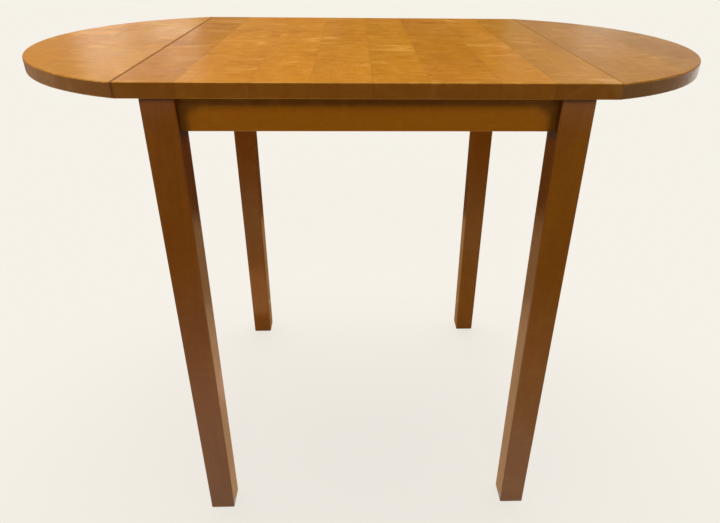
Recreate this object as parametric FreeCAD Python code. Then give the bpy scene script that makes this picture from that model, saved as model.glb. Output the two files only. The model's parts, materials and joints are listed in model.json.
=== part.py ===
import FreeCAD, Part
import math
import os

# A drop-leaf table with two D-shaped leaves, in millimetres.
# The origin is on the floor under the middle of the top.
# X runs from leaf to leaf, Y from front to back and Z up.
# The leaves are modelled level, with the flies that carry them parked along the side aprons.

# Top and leaves
table_height = 750.0
table_depth = 590.0
centre_length = 613.0
leaf_reach = 207.5
board_thickness = 20.0
seam_gap = 0.6
edge_radius = 2.0
seam_chamfer = 0.4
# Wood that is left above the tip of a screw in a board
screw_cover = 8.0

# Legs: the outer faces are upright and the two inner faces taper below the aprons
leg_width = 43.0
foot_width = 40.0
end_overhang = 26.5
front_overhang = 6.0
leg_edge_radius = 2.0
foot_ease = 1.5

# Aprons, with stub tenons in the legs
apron_height = 45.0
apron_thickness = 20.0
apron_setback = 12.0
apron_edge_radius = 1.5
tenon_length = 8.0
tenon_thickness = 10.0
tenon_shoulder = 5.0
joint_clearance = 0.1

# Corner blocks and the hanger bolts that draw the legs in
corner_block_height = 38.0
corner_block_thickness = 22.0
corner_block_ease = 1.5
draw_gap = 0.5
bolt_radius = 3.0
bolt_bite = 26.0
bolt_tail = 3.0
bolt_hole_play = 0.5
washer_radius = 7.0
washer_thickness = 1.5
nut_flats = 10.0
nut_height = 5.0

# Screws of the corner blocks
block_screw_radius = 1.75
block_screw_head_radius = 3.5
block_screw_head_height = 2.5
block_screw_inset = 13.0
block_screw_edge = 7.0
block_screw_grip = 8.0
counterbore_play = 0.5
apron_screw_cover = 6.0
# Room round a screw in its wood
screw_clearance = 0.05

# Buttons that hold the centre top down
button_width = 26.0
button_reach = 28.0
button_thickness = 14.0
button_tongue = 7.0
button_tongue_thickness = 8.0
button_ease = 1.0
button_face_gap = 0.5
button_slot_play = 2.0
button_slot_clearance = 0.3
button_screw_radius = 2.0
button_screw_head_radius = 4.0
front_button_offset = 100.0
side_button_offset = 130.0

# Flies and their fixed rails, joined by wooden knuckles
knuckle_radius = 9.0
fly_height = 40.0
fly_top_gap = 0.5
fly_back_gap = 0.5
fly_pivot_offset = 75.0
fly_leg_gap = 28.0
fly_edge_radius = 1.5
fly_straight = 45.0
fly_tip_height = 16.0
fly_tip_length = 26.0
fly_tip_slope = 5.0
finger_count = 5
finger_gap = 0.3
cove_gap = 0.3
shoulder_gap = 0.3
fly_pin_radius = 2.5
fly_pin_chamfer = 0.5
running_clearance = 0.05
rail_screw_radius = 2.0
rail_screw_head_radius = 4.0
rail_screw_inset = 32.0
rail_screw_cover = 6.0

# Back-flap hinges under the seams
hinge_length = 40.0
hinge_plate = 1.8
hinge_radius = 3.2
hinge_pin_radius = 1.6
hinge_pin_head_radius = 2.4
hinge_pin_head = 0.8
hinge_knuckle_count = 5
hinge_knuckle_gap = 0.3
hinge_wood_gap = 0.3
hinge_fly_gap = 5.0
hinge_leg_gap = 2.0
leaf_flap_width = 27.0
flap_corner = 3.0
hinge_screw_radius = 1.6
hinge_screw_head_radius = 3.2
hinge_screw_edge = 6.0

# Places that follow from the sizes above
underside = table_height - board_thickness
half_depth = table_depth / 2
centre_end = centre_length / 2
seam_x = centre_end + seam_gap / 2
leaf_edge = centre_end + seam_gap
leg_out_x = centre_end - end_overhang
leg_out_y = half_depth - front_overhang
leg_in_x = leg_out_x - leg_width
leg_in_y = leg_out_y - leg_width
apron_low = underside - apron_height
apron_out_x = leg_out_x - apron_setback
apron_out_y = leg_out_y - apron_setback
apron_in_x = apron_out_x - apron_thickness
apron_in_y = apron_out_y - apron_thickness
board_bite = board_thickness - screw_cover
fly_top = underside - fly_top_gap
fly_low = fly_top - fly_height
fly_pivot_x = apron_out_x + fly_back_gap + knuckle_radius
fly_tip_y = leg_in_y - fly_leg_gap
finger_height = (fly_height - (finger_count - 1) * finger_gap) / finger_count
hinge_axis_z = underside - hinge_radius - hinge_wood_gap
hinge_start_y = fly_tip_y + hinge_fly_gap
hinge_mid_y = hinge_start_y + hinge_length / 2
hinge_end_y = hinge_start_y + hinge_length
top_flap_width = seam_x - leg_out_x - hinge_leg_gap
knuckle_run = hinge_length - (hinge_knuckle_count - 1) * hinge_knuckle_gap
hinge_knuckle_length = knuckle_run / hinge_knuckle_count

V = FreeCAD.Vector
ORIGIN = V(0, 0, 0)
RIGHT = V(1, 0, 0)
BACK = V(0, 1, 0)
UP = V(0, 0, 1)
INTO_CORNER = V(math.sqrt(0.5), math.sqrt(0.5), 0)

CORNERS = [
    ("front_left", -1, -1),
    ("front_right", 1, -1),
    ("rear_left", -1, 1),
    ("rear_right", 1, 1),
]
SIDES = [("left", -1), ("right", 1)]
RAIL_FINGERS = range(0, finger_count, 2)
FLY_FINGERS = range(1, finger_count, 2)
TOP_KNUCKLES = range(0, hinge_knuckle_count, 2)
LEAF_KNUCKLES = range(1, hinge_knuckle_count, 2)


# Basic forms

def block(x_span, y_span, z_span):
    """A box between two corners."""
    low = V(min(x_span), min(y_span), min(z_span))
    high = V(max(x_span), max(y_span), max(z_span))
    return Part.makeBox(high.x - low.x, high.y - low.y, high.z - low.z, low)


def rod(radius, start, end):
    """A round bar from one point to another."""
    axis = end.sub(start)
    return Part.makeCylinder(radius, axis.Length, start, axis)


def outline_face(points):
    """A flat face inside a closed run of straight lines."""
    return Part.Face(Part.makePolygon(points + points[:1]))


def plan_prism(outline, low, high):
    """A plan outline of (x, y) points, raised from one height to another."""
    face = outline_face([V(x, y, low) for x, y in outline])
    return face.extrude(V(0, 0, high - low))


def turned(profile, start, direction):
    """A profile of (radius, distance) points, turned about an axis from start."""
    face = outline_face([V(radius, 0, distance) for radius, distance in profile])
    solid = face.revolve(ORIGIN, UP, 360)
    solid.Placement = FreeCAD.Placement(start, FreeCAD.Rotation(UP, direction))
    return solid


def at_corner(shape, side, end):
    """A piece modelled at the rear right corner, mirrored to another corner."""
    placed = shape.copy()
    if side < 0:
        placed = placed.mirror(ORIGIN, RIGHT)
    if end < 0:
        placed = placed.mirror(ORIGIN, BACK)
    return placed


def at_corners(shape):
    """The same piece at all four corners, as separate solids."""
    return [at_corner(shape, side, end) for _, side, end in CORNERS]


def save(name, shape):
    """Write one node, which is a single solid or a group of separate solids."""
    shape.exportStep("parts/" + name + ".step")


# Screws and the holes that take them

def flat_screw(start, direction, head_radius, radius, length):
    """A countersunk wood screw whose head is flush at start."""
    neck = head_radius - radius
    point = length - 2 * radius
    profile = [(0, 0), (head_radius, 0), (radius, neck), (radius, point), (0, length)]
    return turned(profile, start, direction)


def flat_screw_hole(start, direction, head_radius, radius, length):
    """The countersunk hole for a flat screw, with room all round it."""
    room = screw_clearance
    neck = head_radius - radius
    mouth = head_radius + room
    bore = radius + room
    profile = [(0, -room), (mouth, -room), (mouth, 0), (bore, neck), (bore, length + room), (0, length + room)]
    return turned(profile, start, direction)


def pan_screw(seat, direction, head_radius, head_height, radius, length):
    """A wood screw with a raised head that stands on its seat."""
    crown = head_radius / 2
    shoulder = -head_height / 2
    point = length - 2 * radius
    profile = [
        (0, -head_height),
        (crown, -head_height),
        (head_radius, shoulder),
        (head_radius, 0),
        (radius, 0),
        (radius, point),
        (0, length),
    ]
    return turned(profile, seat, direction)


def pan_screw_hole(seat, direction, head_radius, radius, length, recess):
    """The stepped hole for a pan screw: a counterbore outside its seat and a bore inside."""
    mouth = head_radius + counterbore_play
    bore = radius + screw_clearance
    end = length + screw_clearance
    profile = [(0, -recess), (mouth, -recess), (mouth, 0), (bore, 0), (bore, end), (0, end)]
    return turned(profile, seat, direction)


# Top and leaves

def seam_wedge(edge_x, inward, height, down):
    """A long wedge that takes the sharp corner off a board along its seam."""
    corner = V(edge_x, -table_depth, height)
    along = V(edge_x + inward * seam_chamfer, -table_depth, height)
    below = V(edge_x, -table_depth, height + down * seam_chamfer)
    return outline_face([corner, along, below]).extrude(V(0, 2 * table_depth, 0))


def seam_wedges(edge_x, inward):
    """The wedges along the upper and lower corner of one seam edge."""
    upper = seam_wedge(edge_x, inward, table_height, -1)
    lower = seam_wedge(edge_x, inward, underside, 1)
    return [upper, lower]


def centre_board():
    """The rectangular panel, with eased front and rear edges."""
    board = block((-centre_end, centre_end), (-half_depth, half_depth), (underside, table_height))
    eased = [e for e in board.Edges if abs(e.CenterOfMass.x) < seam_gap and e.Length > board_thickness]
    eased = [e for e in eased if abs(e.CenterOfMass.y) > half_depth - seam_gap]
    board = board.makeFillet(edge_radius, eased)
    return board.cut(seam_wedges(centre_end, -1) + seam_wedges(-centre_end, 1))


def leaf_board():
    """The right leaf: a segment of a circle through the two seam corners, eased along its curve."""
    far = V(leaf_edge + leaf_reach, 0, underside)
    front = V(leaf_edge, -half_depth, underside)
    rear = V(leaf_edge, half_depth, underside)
    curve = Part.Arc(front, far, rear).toShape()
    chord = Part.makeLine(rear, front)
    board = Part.Face(Part.Wire([curve, chord])).extrude(V(0, 0, board_thickness))
    rims = [e for e in board.Edges if e.Length > table_depth + seam_gap]
    board = board.makeFillet(edge_radius, rims)
    return board.cut(seam_wedges(leaf_edge, 1))


# Legs and aprons, for the rear right corner

def rounded_square(x_span, y_span, z, radius):
    """A closed outline with four round corners at one height."""
    x0, x1 = x_span
    y0, y1 = y_span
    centres = [
        (x1 - radius, y1 - radius),
        (x0 + radius, y1 - radius),
        (x0 + radius, y0 + radius),
        (x1 - radius, y0 + radius),
    ]
    arcs = []
    for quarter, (x, y) in enumerate(centres):
        turns = [math.radians(90 * quarter + step) for step in (0, 45, 90)]
        points = [V(x + radius * math.cos(t), y + radius * math.sin(t), z) for t in turns]
        arcs.append(Part.Arc(*points).toShape())
    edges = []
    for arc, following in zip(arcs, arcs[1:] + arcs[:1]):
        side = Part.makeLine(arc.Vertexes[-1].Point, following.Vertexes[0].Point)
        edges.extend([arc, side])
    return Part.Wire(edges)


def leg_section(z, width, inset):
    """The leg's outline at one height, always flush with the two outer faces."""
    x_span = (leg_out_x - width + inset, leg_out_x - inset)
    y_span = (leg_out_y - width + inset, leg_out_y - inset)
    return rounded_square(x_span, y_span, z, leg_edge_radius)


def tenons(room):
    """The two stub tenons that enter the rear right leg, grown by some room."""
    reach = tenon_length + room
    half = tenon_thickness / 2 + room
    z_span = (apron_low + tenon_shoulder - room, underside - tenon_shoulder + room)
    rear_mid = apron_in_y + apron_thickness / 2
    side_mid = apron_in_x + apron_thickness / 2
    rear = block((leg_in_x, leg_in_x + reach), (rear_mid - half, rear_mid + half), z_span)
    side = block((side_mid - half, side_mid + half), (leg_in_y, leg_in_y + reach), z_span)
    return rear, side


corner_block_low = underside - corner_block_height
bolt_z = underside - corner_block_height / 2
leg_seat = V((leg_in_x + apron_in_x) / 2, (leg_in_y + apron_in_y) / 2, bolt_z)


def hanger_bolt(room):
    """The bolt through the corner block into the leg, grown by some room."""
    stack = draw_gap + corner_block_thickness + washer_thickness + nut_height + bolt_tail
    start = leg_seat - INTO_CORNER * stack
    end = leg_seat + INTO_CORNER * (bolt_bite + room)
    return rod(bolt_radius + room, start, end)


def leg():
    """A tapered leg with its mortises, its bolt hole and a flat seat on the inner corner."""
    sections = [
        leg_section(0, foot_width, foot_ease),
        leg_section(foot_ease, foot_width, 0),
        leg_section(apron_low, leg_width, 0),
        leg_section(underside, leg_width, 0),
    ]
    post = Part.makeLoft(sections, True, True)
    seat_outline = [(leg_in_x, leg_in_y), (apron_in_x, leg_in_y), (leg_in_x, apron_in_y)]
    seat_cut = plan_prism(seat_outline, corner_block_low, underside)
    return post.cut([*tenons(joint_clearance), hanger_bolt(screw_clearance), seat_cut])


def apron_bar(x_span, y_span):
    """A plain apron with its two lower long edges eased."""
    bar = block(x_span, y_span, (apron_low, underside))
    long_edges = [e for e in bar.Edges if e.Length > max(apron_height, apron_thickness) * 2]
    lower = [e for e in long_edges if abs(e.CenterOfMass.z - apron_low) < joint_clearance]
    return bar.makeFillet(apron_edge_radius, lower)


def rear_apron(cuts):
    """The rear apron between the legs, with a tenon at each end."""
    bar = apron_bar((-leg_in_x, leg_in_x), (apron_in_y, apron_out_y))
    tenon = tenons(0)[0]
    return bar.fuse([tenon, at_corner(tenon, -1, 1)]).cut(cuts)


def right_apron(cuts):
    """The right apron between the legs, with a tenon at each end."""
    bar = apron_bar((apron_in_x, apron_out_x), (-leg_in_y, leg_in_y))
    tenon = tenons(0)[1]
    return bar.fuse([tenon, at_corner(tenon, 1, -1)]).cut(cuts)


# Corner block, bolt set and block screws, for the rear right corner

block_outer = leg_in_x + apron_in_y - draw_gap * math.sqrt(2)
block_inner = block_outer - corner_block_thickness * math.sqrt(2)
block_screw_length = block_screw_grip + apron_thickness - apron_screw_cover


def block_screw_seats():
    """Where the two screws of a corner block bear, with the way that each one points."""
    rear_x = block_inner - apron_in_y + block_screw_inset
    side_y = block_inner - apron_in_x + block_screw_inset
    rear = V(rear_x, apron_in_y - block_screw_grip, corner_block_low + block_screw_edge)
    side = V(apron_in_x - block_screw_grip, side_y, underside - block_screw_edge)
    return [(rear, BACK), (side, RIGHT)]


def block_screws():
    """The screw into the rear apron and the screw into the right apron."""
    sizes = (block_screw_head_radius, block_screw_head_height, block_screw_radius, block_screw_length)
    return [pan_screw(seat, way, *sizes) for seat, way in block_screw_seats()]


def block_screw_holes():
    """The counterbored holes of those two screws."""
    sizes = (block_screw_head_radius, block_screw_radius, block_screw_length, corner_block_thickness)
    return [pan_screw_hole(seat, way, *sizes) for seat, way in block_screw_seats()]


def corner_block():
    """The brace across the corner, which the hanger bolt passes through, eased along its lower inner edge."""
    outline = [
        (block_outer - apron_in_y, apron_in_y),
        (apron_in_x, block_outer - apron_in_x),
        (apron_in_x, block_inner - apron_in_x),
        (block_inner - apron_in_y, apron_in_y),
    ]
    brace = plan_prism(outline, corner_block_low, underside)
    lower = [e for e in brace.Edges if e.BoundBox.ZMax < corner_block_low + corner_block_ease]
    inner = [e for e in lower if e.CenterOfMass.x + e.CenterOfMass.y < block_inner + corner_block_ease]
    brace = brace.makeChamfer(corner_block_ease, inner)
    return brace.cut([hanger_bolt(bolt_hole_play)] + block_screw_holes())


def washer_and_nut():
    """The washer against the corner block and the six-sided nut on it."""
    face = leg_seat - INTO_CORNER * (draw_gap + corner_block_thickness)
    outside = face - INTO_CORNER * washer_thickness
    hole = hanger_bolt(screw_clearance)
    washer = rod(washer_radius, outside, face).cut(hole)
    corner_radius = nut_flats / math.sqrt(3)
    turns = [math.radians(60 * step) for step in range(6)]
    hexagon = outline_face([V(corner_radius * math.cos(t), corner_radius * math.sin(t), 0) for t in turns])
    nut = hexagon.extrude(V(0, 0, nut_height))
    nut.Placement = FreeCAD.Placement(outside, FreeCAD.Rotation(UP, INTO_CORNER * -1))
    return washer, nut.cut(hole)


# Buttons: modelled at the origin with +Y into the apron, then turned to each apron

def button_places():
    """Where each button meets the inner face of its apron, under the top."""
    places = []
    for offset in (-front_button_offset, front_button_offset):
        places.append((V(offset, apron_in_y, underside), 0))
        places.append((V(offset, -apron_in_y, underside), 180))
    for offset in (-side_button_offset, side_button_offset):
        places.append((V(apron_in_x, offset, underside), -90))
        places.append((V(-apron_in_x, offset, underside), 90))
    return places


def placed_at_buttons(shape):
    """The same piece at every button."""
    copies = []
    for point, turn in button_places():
        copy = shape.copy()
        copy.Placement = FreeCAD.Placement(point, FreeCAD.Rotation(UP, turn)).multiply(shape.Placement)
        copies.append(copy)
    return copies


button_screw_length = button_thickness + board_bite
button_screw_start = V(0, -button_reach / 2, -button_thickness)
button_screw_sizes = (button_screw_head_radius, button_screw_radius, button_screw_length)


def button():
    """A small block, eased below, with a tongue that hooks into the apron's slot."""
    tongue_top = button_tongue_thickness - button_thickness
    profile = [
        (-button_reach, 0),
        (-button_face_gap, 0),
        (-button_face_gap, tongue_top),
        (button_tongue, tongue_top),
        (button_tongue, -button_thickness),
        (-button_reach, -button_thickness),
    ]
    face = outline_face([V(-button_width / 2, y, z) for y, z in profile])
    body = face.extrude(V(button_width, 0, 0))
    lower = [e for e in body.Edges if e.BoundBox.ZMax < button_ease - button_thickness]
    outer = [e for e in lower if e.BoundBox.YMin < button_ease - button_reach]
    body = body.makeChamfer(button_ease, outer)
    return body.cut(flat_screw_hole(button_screw_start, UP, *button_screw_sizes))


def button_slot():
    """The slot in the apron for a button's tongue, with play along the apron."""
    half = button_width / 2 + button_slot_play
    room = button_slot_clearance
    z_span = (-button_thickness - room, button_tongue_thickness - button_thickness + room)
    return block((-half, half), (-button_face_gap, button_tongue + room), z_span)


# Flies and rails, for the right side

def finger_span(index):
    """The lower and upper height of one finger of the knuckle joint."""
    low = fly_low + index * (finger_height + finger_gap)
    return low, low + finger_height


def knuckle(body, pivot_y, own, other):
    """Cut the coves for the other piece's fingers, then add the piece's own round fingers."""
    coves = []
    fingers = []
    for index in other:
        low, high = finger_span(index)
        start = V(fly_pivot_x, pivot_y, low - finger_gap)
        coves.append(rod(knuckle_radius + cove_gap, start, V(fly_pivot_x, pivot_y, high + finger_gap)))
    for index in own:
        low, high = finger_span(index)
        fingers.append(rod(knuckle_radius, V(fly_pivot_x, pivot_y, low), V(fly_pivot_x, pivot_y, high)))
    hole_low = V(fly_pivot_x, pivot_y, fly_low - finger_gap)
    hole_high = V(fly_pivot_x, pivot_y, fly_top + finger_gap)
    pin_hole = rod(fly_pin_radius + running_clearance, hole_low, hole_high)
    return body.cut(coves).fuse(fingers).removeSplitter().cut(pin_hole)


def fly_side():
    """The fly seen from the side: straight above, with an eased lower edge that sweeps up to a slim tip."""
    tip_low = fly_top - fly_tip_height
    sweep_start = fly_pivot_offset + fly_straight
    sweep_end = fly_tip_y - fly_tip_length
    sweep_mid = (sweep_start + sweep_end) / 2
    x = fly_pivot_x - knuckle_radius
    sweep = Part.BezierCurve()
    sweep.setPoles([
        V(x, sweep_start, fly_low),
        V(x, sweep_mid, fly_low),
        V(x, sweep_mid, tip_low),
        V(x, sweep_end, tip_low),
    ])
    corners = [
        V(x, sweep_end, tip_low),
        V(x, fly_tip_y - fly_tip_slope, tip_low),
        V(x, fly_tip_y, fly_top),
        V(x, fly_pivot_offset, fly_top),
        V(x, fly_pivot_offset, fly_low),
        V(x, sweep_start, fly_low),
    ]
    lines = [Part.makeLine(a, b) for a, b in zip(corners, corners[1:])]
    face = Part.Face(Part.Wire([sweep.toShape()] + lines))
    board = face.extrude(V(2 * knuckle_radius, 0, 0))
    long_edges = [e for e in board.Edges if e.BoundBox.XLength < knuckle_radius]
    lower = [e for e in long_edges if e.BoundBox.ZMax < fly_top - fly_edge_radius]
    return board.makeFillet(fly_edge_radius, lower)


def fly():
    """The rear right fly: its shoulders slope at 45 degrees and meet the rail's when it is out."""
    shoulder = fly_pivot_offset + shoulder_gap
    plan = [
        (fly_pivot_x, shoulder),
        (fly_pivot_x + knuckle_radius, shoulder + knuckle_radius),
        (fly_pivot_x + knuckle_radius, fly_tip_y),
        (fly_pivot_x - knuckle_radius, fly_tip_y),
        (fly_pivot_x - knuckle_radius, shoulder + knuckle_radius),
    ]
    body = fly_side().common(plan_prism(plan, fly_low, fly_top))
    return knuckle(body, fly_pivot_offset, FLY_FINGERS, RAIL_FINGERS)


def rail_screws():
    """Where the rail's screws start on the inner face of the right apron."""
    outer = fly_pivot_offset - rail_screw_inset
    middle = (fly_low + fly_top) / 2
    return [V(apron_in_x, y, middle) for y in (-outer, 0, outer)]


rail_thickness = 2 * knuckle_radius + fly_back_gap
rail_screw_length = apron_thickness + rail_thickness - rail_screw_cover
rail_screw_sizes = (rail_screw_head_radius, rail_screw_radius, rail_screw_length)


def fly_rail(screw_holes):
    """The fixed rail on the right apron, with fingers at both ends and an eased lower outer edge."""
    shoulder = fly_pivot_offset - shoulder_gap
    outer_x = fly_pivot_x + knuckle_radius
    outer_y = shoulder - knuckle_radius
    inner_y = shoulder - knuckle_radius - fly_back_gap
    plan = [
        (fly_pivot_x, shoulder),
        (outer_x, outer_y),
        (outer_x, -outer_y),
        (fly_pivot_x, -shoulder),
        (apron_out_x, -inner_y),
        (apron_out_x, inner_y),
    ]
    body = plan_prism(plan, fly_low, fly_top)
    outer_edges = [e for e in body.Edges if e.BoundBox.XMin > outer_x - fly_edge_radius]
    lower = [e for e in outer_edges if e.BoundBox.ZMax < fly_low + fly_edge_radius]
    body = body.makeFillet(fly_edge_radius, lower)
    for pivot_y in (-fly_pivot_offset, fly_pivot_offset):
        body = knuckle(body, pivot_y, RAIL_FINGERS, FLY_FINGERS)
    return body.cut(screw_holes)


def fly_pin():
    """The steel pin through the rear right knuckle joint, with chamfered ends."""
    slim = fly_pin_radius - fly_pin_chamfer
    profile = [
        (0, 0),
        (slim, 0),
        (fly_pin_radius, fly_pin_chamfer),
        (fly_pin_radius, fly_height - fly_pin_chamfer),
        (slim, fly_height),
        (0, fly_height),
    ]
    return turned(profile, V(fly_pivot_x, fly_pivot_offset, fly_low), UP)


# Hinges, for the rear right corner

hinge_clear = hinge_radius + hinge_knuckle_gap
hinge_screw_length = hinge_plate + board_bite
hinge_screw_sizes = (hinge_screw_head_radius, hinge_screw_radius, hinge_screw_length)


def hinge_knuckle_span(index):
    """The start and end along Y of one knuckle of the hinge."""
    start = hinge_start_y + index * (hinge_knuckle_length + hinge_knuckle_gap)
    return start, start + hinge_knuckle_length


def flap_screw_points(way, width):
    """Where the three screws of a flap start, on its lower face."""
    near = seam_x + way * (hinge_clear + hinge_screw_edge)
    far = seam_x + way * (width - hinge_screw_edge)
    spread = hinge_length / 2 - hinge_screw_edge
    low = underside - hinge_plate
    return [V(near, hinge_mid_y, low), V(far, hinge_mid_y - spread, low), V(far, hinge_mid_y + spread, low)]


def hinge_axis(radius, start_y, end_y):
    """A round bar on the hinge's axis."""
    return rod(radius, V(seam_x, start_y, hinge_axis_z), V(seam_x, end_y, hinge_axis_z))


def hinge_flap(way, width, own, other):
    """One flap: a plate under the board, rolled into knuckles that mesh with the other flap's."""
    low = underside - hinge_plate
    far = seam_x + way * width
    clipped = far - way * flap_corner
    outline = [
        (seam_x, hinge_start_y),
        (clipped, hinge_start_y),
        (far, hinge_start_y + flap_corner),
        (far, hinge_end_y - flap_corner),
        (clipped, hinge_end_y),
        (seam_x, hinge_end_y),
    ]
    plate = plan_prism(outline, low, underside)
    for index in other:
        start, end = hinge_knuckle_span(index)
        y_span = (start - hinge_knuckle_gap, end + hinge_knuckle_gap)
        plate = plate.cut(block((seam_x, seam_x + way * hinge_clear), y_span, (low, underside)))
    knuckles = [hinge_axis(hinge_radius, *hinge_knuckle_span(index)) for index in own]
    flap = plate.fuse(knuckles).removeSplitter()
    pin_hole = hinge_axis(hinge_pin_radius + running_clearance, hinge_start_y, hinge_end_y)
    holes = [flat_screw_hole(point, UP, *hinge_screw_sizes) for point in flap_screw_points(way, width)]
    return flap.cut([pin_hole] + holes)


def flap_screws(way, width):
    """The three screws of one flap."""
    return [flat_screw(point, UP, *hinge_screw_sizes) for point in flap_screw_points(way, width)]


def flap_screw_holes(way, width):
    """The holes of those three screws in the board."""
    return [flat_screw_hole(point, UP, *hinge_screw_sizes) for point in flap_screw_points(way, width)]


def hinge_pin():
    """The hinge pin, with a flat head on each end."""
    shank = hinge_axis(hinge_pin_radius, hinge_start_y, hinge_end_y)
    front_head = hinge_axis(hinge_pin_head_radius, hinge_start_y - hinge_pin_head, hinge_start_y)
    rear_head = hinge_axis(hinge_pin_head_radius, hinge_end_y, hinge_end_y + hinge_pin_head)
    return shank.fuse([front_head, rear_head]).removeSplitter()


# Build every piece and write it out

os.makedirs("parts", exist_ok=True)

button_screws = placed_at_buttons(flat_screw(button_screw_start, UP, *button_screw_sizes))
button_holes = placed_at_buttons(flat_screw_hole(button_screw_start, UP, *button_screw_sizes))
button_slots = placed_at_buttons(button_slot())

top_flap_holes = []
for hole in flap_screw_holes(-1, top_flap_width):
    top_flap_holes.extend(at_corners(hole))
save("centre_top", centre_board().cut(top_flap_holes + button_holes))

leaf_flap_holes = []
for hole in flap_screw_holes(1, leaf_flap_width):
    leaf_flap_holes.extend([hole, at_corner(hole, 1, -1)])
right_leaf = leaf_board().cut(leaf_flap_holes)
for side_name, side in SIDES:
    save(side_name + "_leaf", at_corner(right_leaf, side, 1))

rear_right_leg = leg()
for corner_name, side, end in CORNERS:
    save(corner_name + "_leg", at_corner(rear_right_leg, side, end))

rail_screw_holes = [flat_screw_hole(point, RIGHT, *rail_screw_sizes) for point in rail_screws()]
corner_holes = []
for hole in block_screw_holes():
    corner_holes.extend(at_corners(hole))
rear_bar = rear_apron(corner_holes + button_slots)
save("rear_apron", rear_bar)
save("front_apron", at_corner(rear_bar, 1, -1))
right_bar = right_apron(corner_holes + button_slots + rail_screw_holes)
for side_name, side in SIDES:
    save(side_name + "_apron", at_corner(right_bar, side, 1))

rear_right_block = corner_block()
for corner_name, side, end in CORNERS:
    save(corner_name + "_corner_block", at_corner(rear_right_block, side, end))
washer, nut = washer_and_nut()
save("hanger_bolts", Part.makeCompound(at_corners(hanger_bolt(0))))
save("hanger_washers", Part.makeCompound(at_corners(washer)))
save("hanger_nuts", Part.makeCompound(at_corners(nut)))
corner_screws = []
for screw in block_screws():
    corner_screws.extend(at_corners(screw))
save("corner_block_screws", Part.makeCompound(corner_screws))

save("top_buttons", Part.makeCompound(placed_at_buttons(button())))
save("top_button_screws", Part.makeCompound(button_screws))

right_rail = fly_rail(rail_screw_holes)
for side_name, side in SIDES:
    save(side_name + "_fly_rail", at_corner(right_rail, side, 1))
right_rail_screws = [flat_screw(point, RIGHT, *rail_screw_sizes) for point in rail_screws()]
left_rail_screws = [at_corner(screw, -1, 1) for screw in right_rail_screws]
save("fly_rail_screws", Part.makeCompound(right_rail_screws + left_rail_screws))

rear_right_fly = fly()
rear_right_fly_pin = fly_pin()
rear_right_top_flap = hinge_flap(-1, top_flap_width, TOP_KNUCKLES, LEAF_KNUCKLES)
rear_right_leaf_flap = hinge_flap(1, leaf_flap_width, LEAF_KNUCKLES, TOP_KNUCKLES)
rear_right_hinge_pin = hinge_pin()
for corner_name, side, end in CORNERS:
    save(corner_name + "_fly", at_corner(rear_right_fly, side, end))
    save(corner_name + "_fly_pin", at_corner(rear_right_fly_pin, side, end))
    save(corner_name + "_hinge_top_flap", at_corner(rear_right_top_flap, side, end))
    save(corner_name + "_hinge_leaf_flap", at_corner(rear_right_leaf_flap, side, end))
    save(corner_name + "_hinge_pin", at_corner(rear_right_hinge_pin, side, end))

top_hinge_screws = []
for screw in flap_screws(-1, top_flap_width):
    top_hinge_screws.extend(at_corners(screw))
save("top_hinge_screws", Part.makeCompound(top_hinge_screws))
for side_name, side in SIDES:
    leaf_hinge_screws = []
    for screw in flap_screws(1, leaf_flap_width):
        leaf_hinge_screws.extend([at_corner(screw, side, 1), at_corner(screw, side, -1)])
    save(side_name + "_leaf_hinge_screws", Part.makeCompound(leaf_hinge_screws))
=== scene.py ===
# %% [markdown]
# This lesson dresses a drop-leaf table: a rectangular centre top, two D-shaped leaves and four tapered
# legs. The imported model already holds every board, hinge and screw at its real size, so nothing is
# moved here. It is loaded first.

# %% Load the imported table
import json
import math

import bpy
import numpy as np
from mathutils import Matrix, Vector

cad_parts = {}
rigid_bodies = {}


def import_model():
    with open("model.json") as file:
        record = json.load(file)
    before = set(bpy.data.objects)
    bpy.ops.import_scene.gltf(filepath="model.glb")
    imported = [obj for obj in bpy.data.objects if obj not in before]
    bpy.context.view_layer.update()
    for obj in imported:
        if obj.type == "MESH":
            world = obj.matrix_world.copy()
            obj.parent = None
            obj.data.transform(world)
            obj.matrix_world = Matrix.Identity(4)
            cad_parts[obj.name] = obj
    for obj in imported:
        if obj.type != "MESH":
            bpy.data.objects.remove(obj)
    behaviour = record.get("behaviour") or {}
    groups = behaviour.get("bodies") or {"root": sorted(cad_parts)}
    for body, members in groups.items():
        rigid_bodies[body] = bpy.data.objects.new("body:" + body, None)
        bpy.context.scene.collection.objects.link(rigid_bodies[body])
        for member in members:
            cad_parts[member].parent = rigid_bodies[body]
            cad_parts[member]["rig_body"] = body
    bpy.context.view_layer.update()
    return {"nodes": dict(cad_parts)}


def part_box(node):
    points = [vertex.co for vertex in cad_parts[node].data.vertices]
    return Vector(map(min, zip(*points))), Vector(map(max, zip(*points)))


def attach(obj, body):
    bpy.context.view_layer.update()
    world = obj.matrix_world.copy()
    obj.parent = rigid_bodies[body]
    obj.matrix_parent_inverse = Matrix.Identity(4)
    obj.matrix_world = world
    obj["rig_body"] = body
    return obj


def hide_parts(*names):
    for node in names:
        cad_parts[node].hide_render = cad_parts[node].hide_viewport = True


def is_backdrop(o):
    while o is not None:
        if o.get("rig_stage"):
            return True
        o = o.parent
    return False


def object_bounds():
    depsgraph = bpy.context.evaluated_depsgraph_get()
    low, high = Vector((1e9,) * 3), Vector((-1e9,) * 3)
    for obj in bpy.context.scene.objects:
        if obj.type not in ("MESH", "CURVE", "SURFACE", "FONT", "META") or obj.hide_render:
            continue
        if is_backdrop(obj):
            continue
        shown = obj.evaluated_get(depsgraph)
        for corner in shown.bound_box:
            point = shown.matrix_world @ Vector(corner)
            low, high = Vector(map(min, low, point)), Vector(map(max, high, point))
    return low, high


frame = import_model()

nodes = frame["nodes"]
bpy.ops.object.select_all(action="DESELECT")

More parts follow.
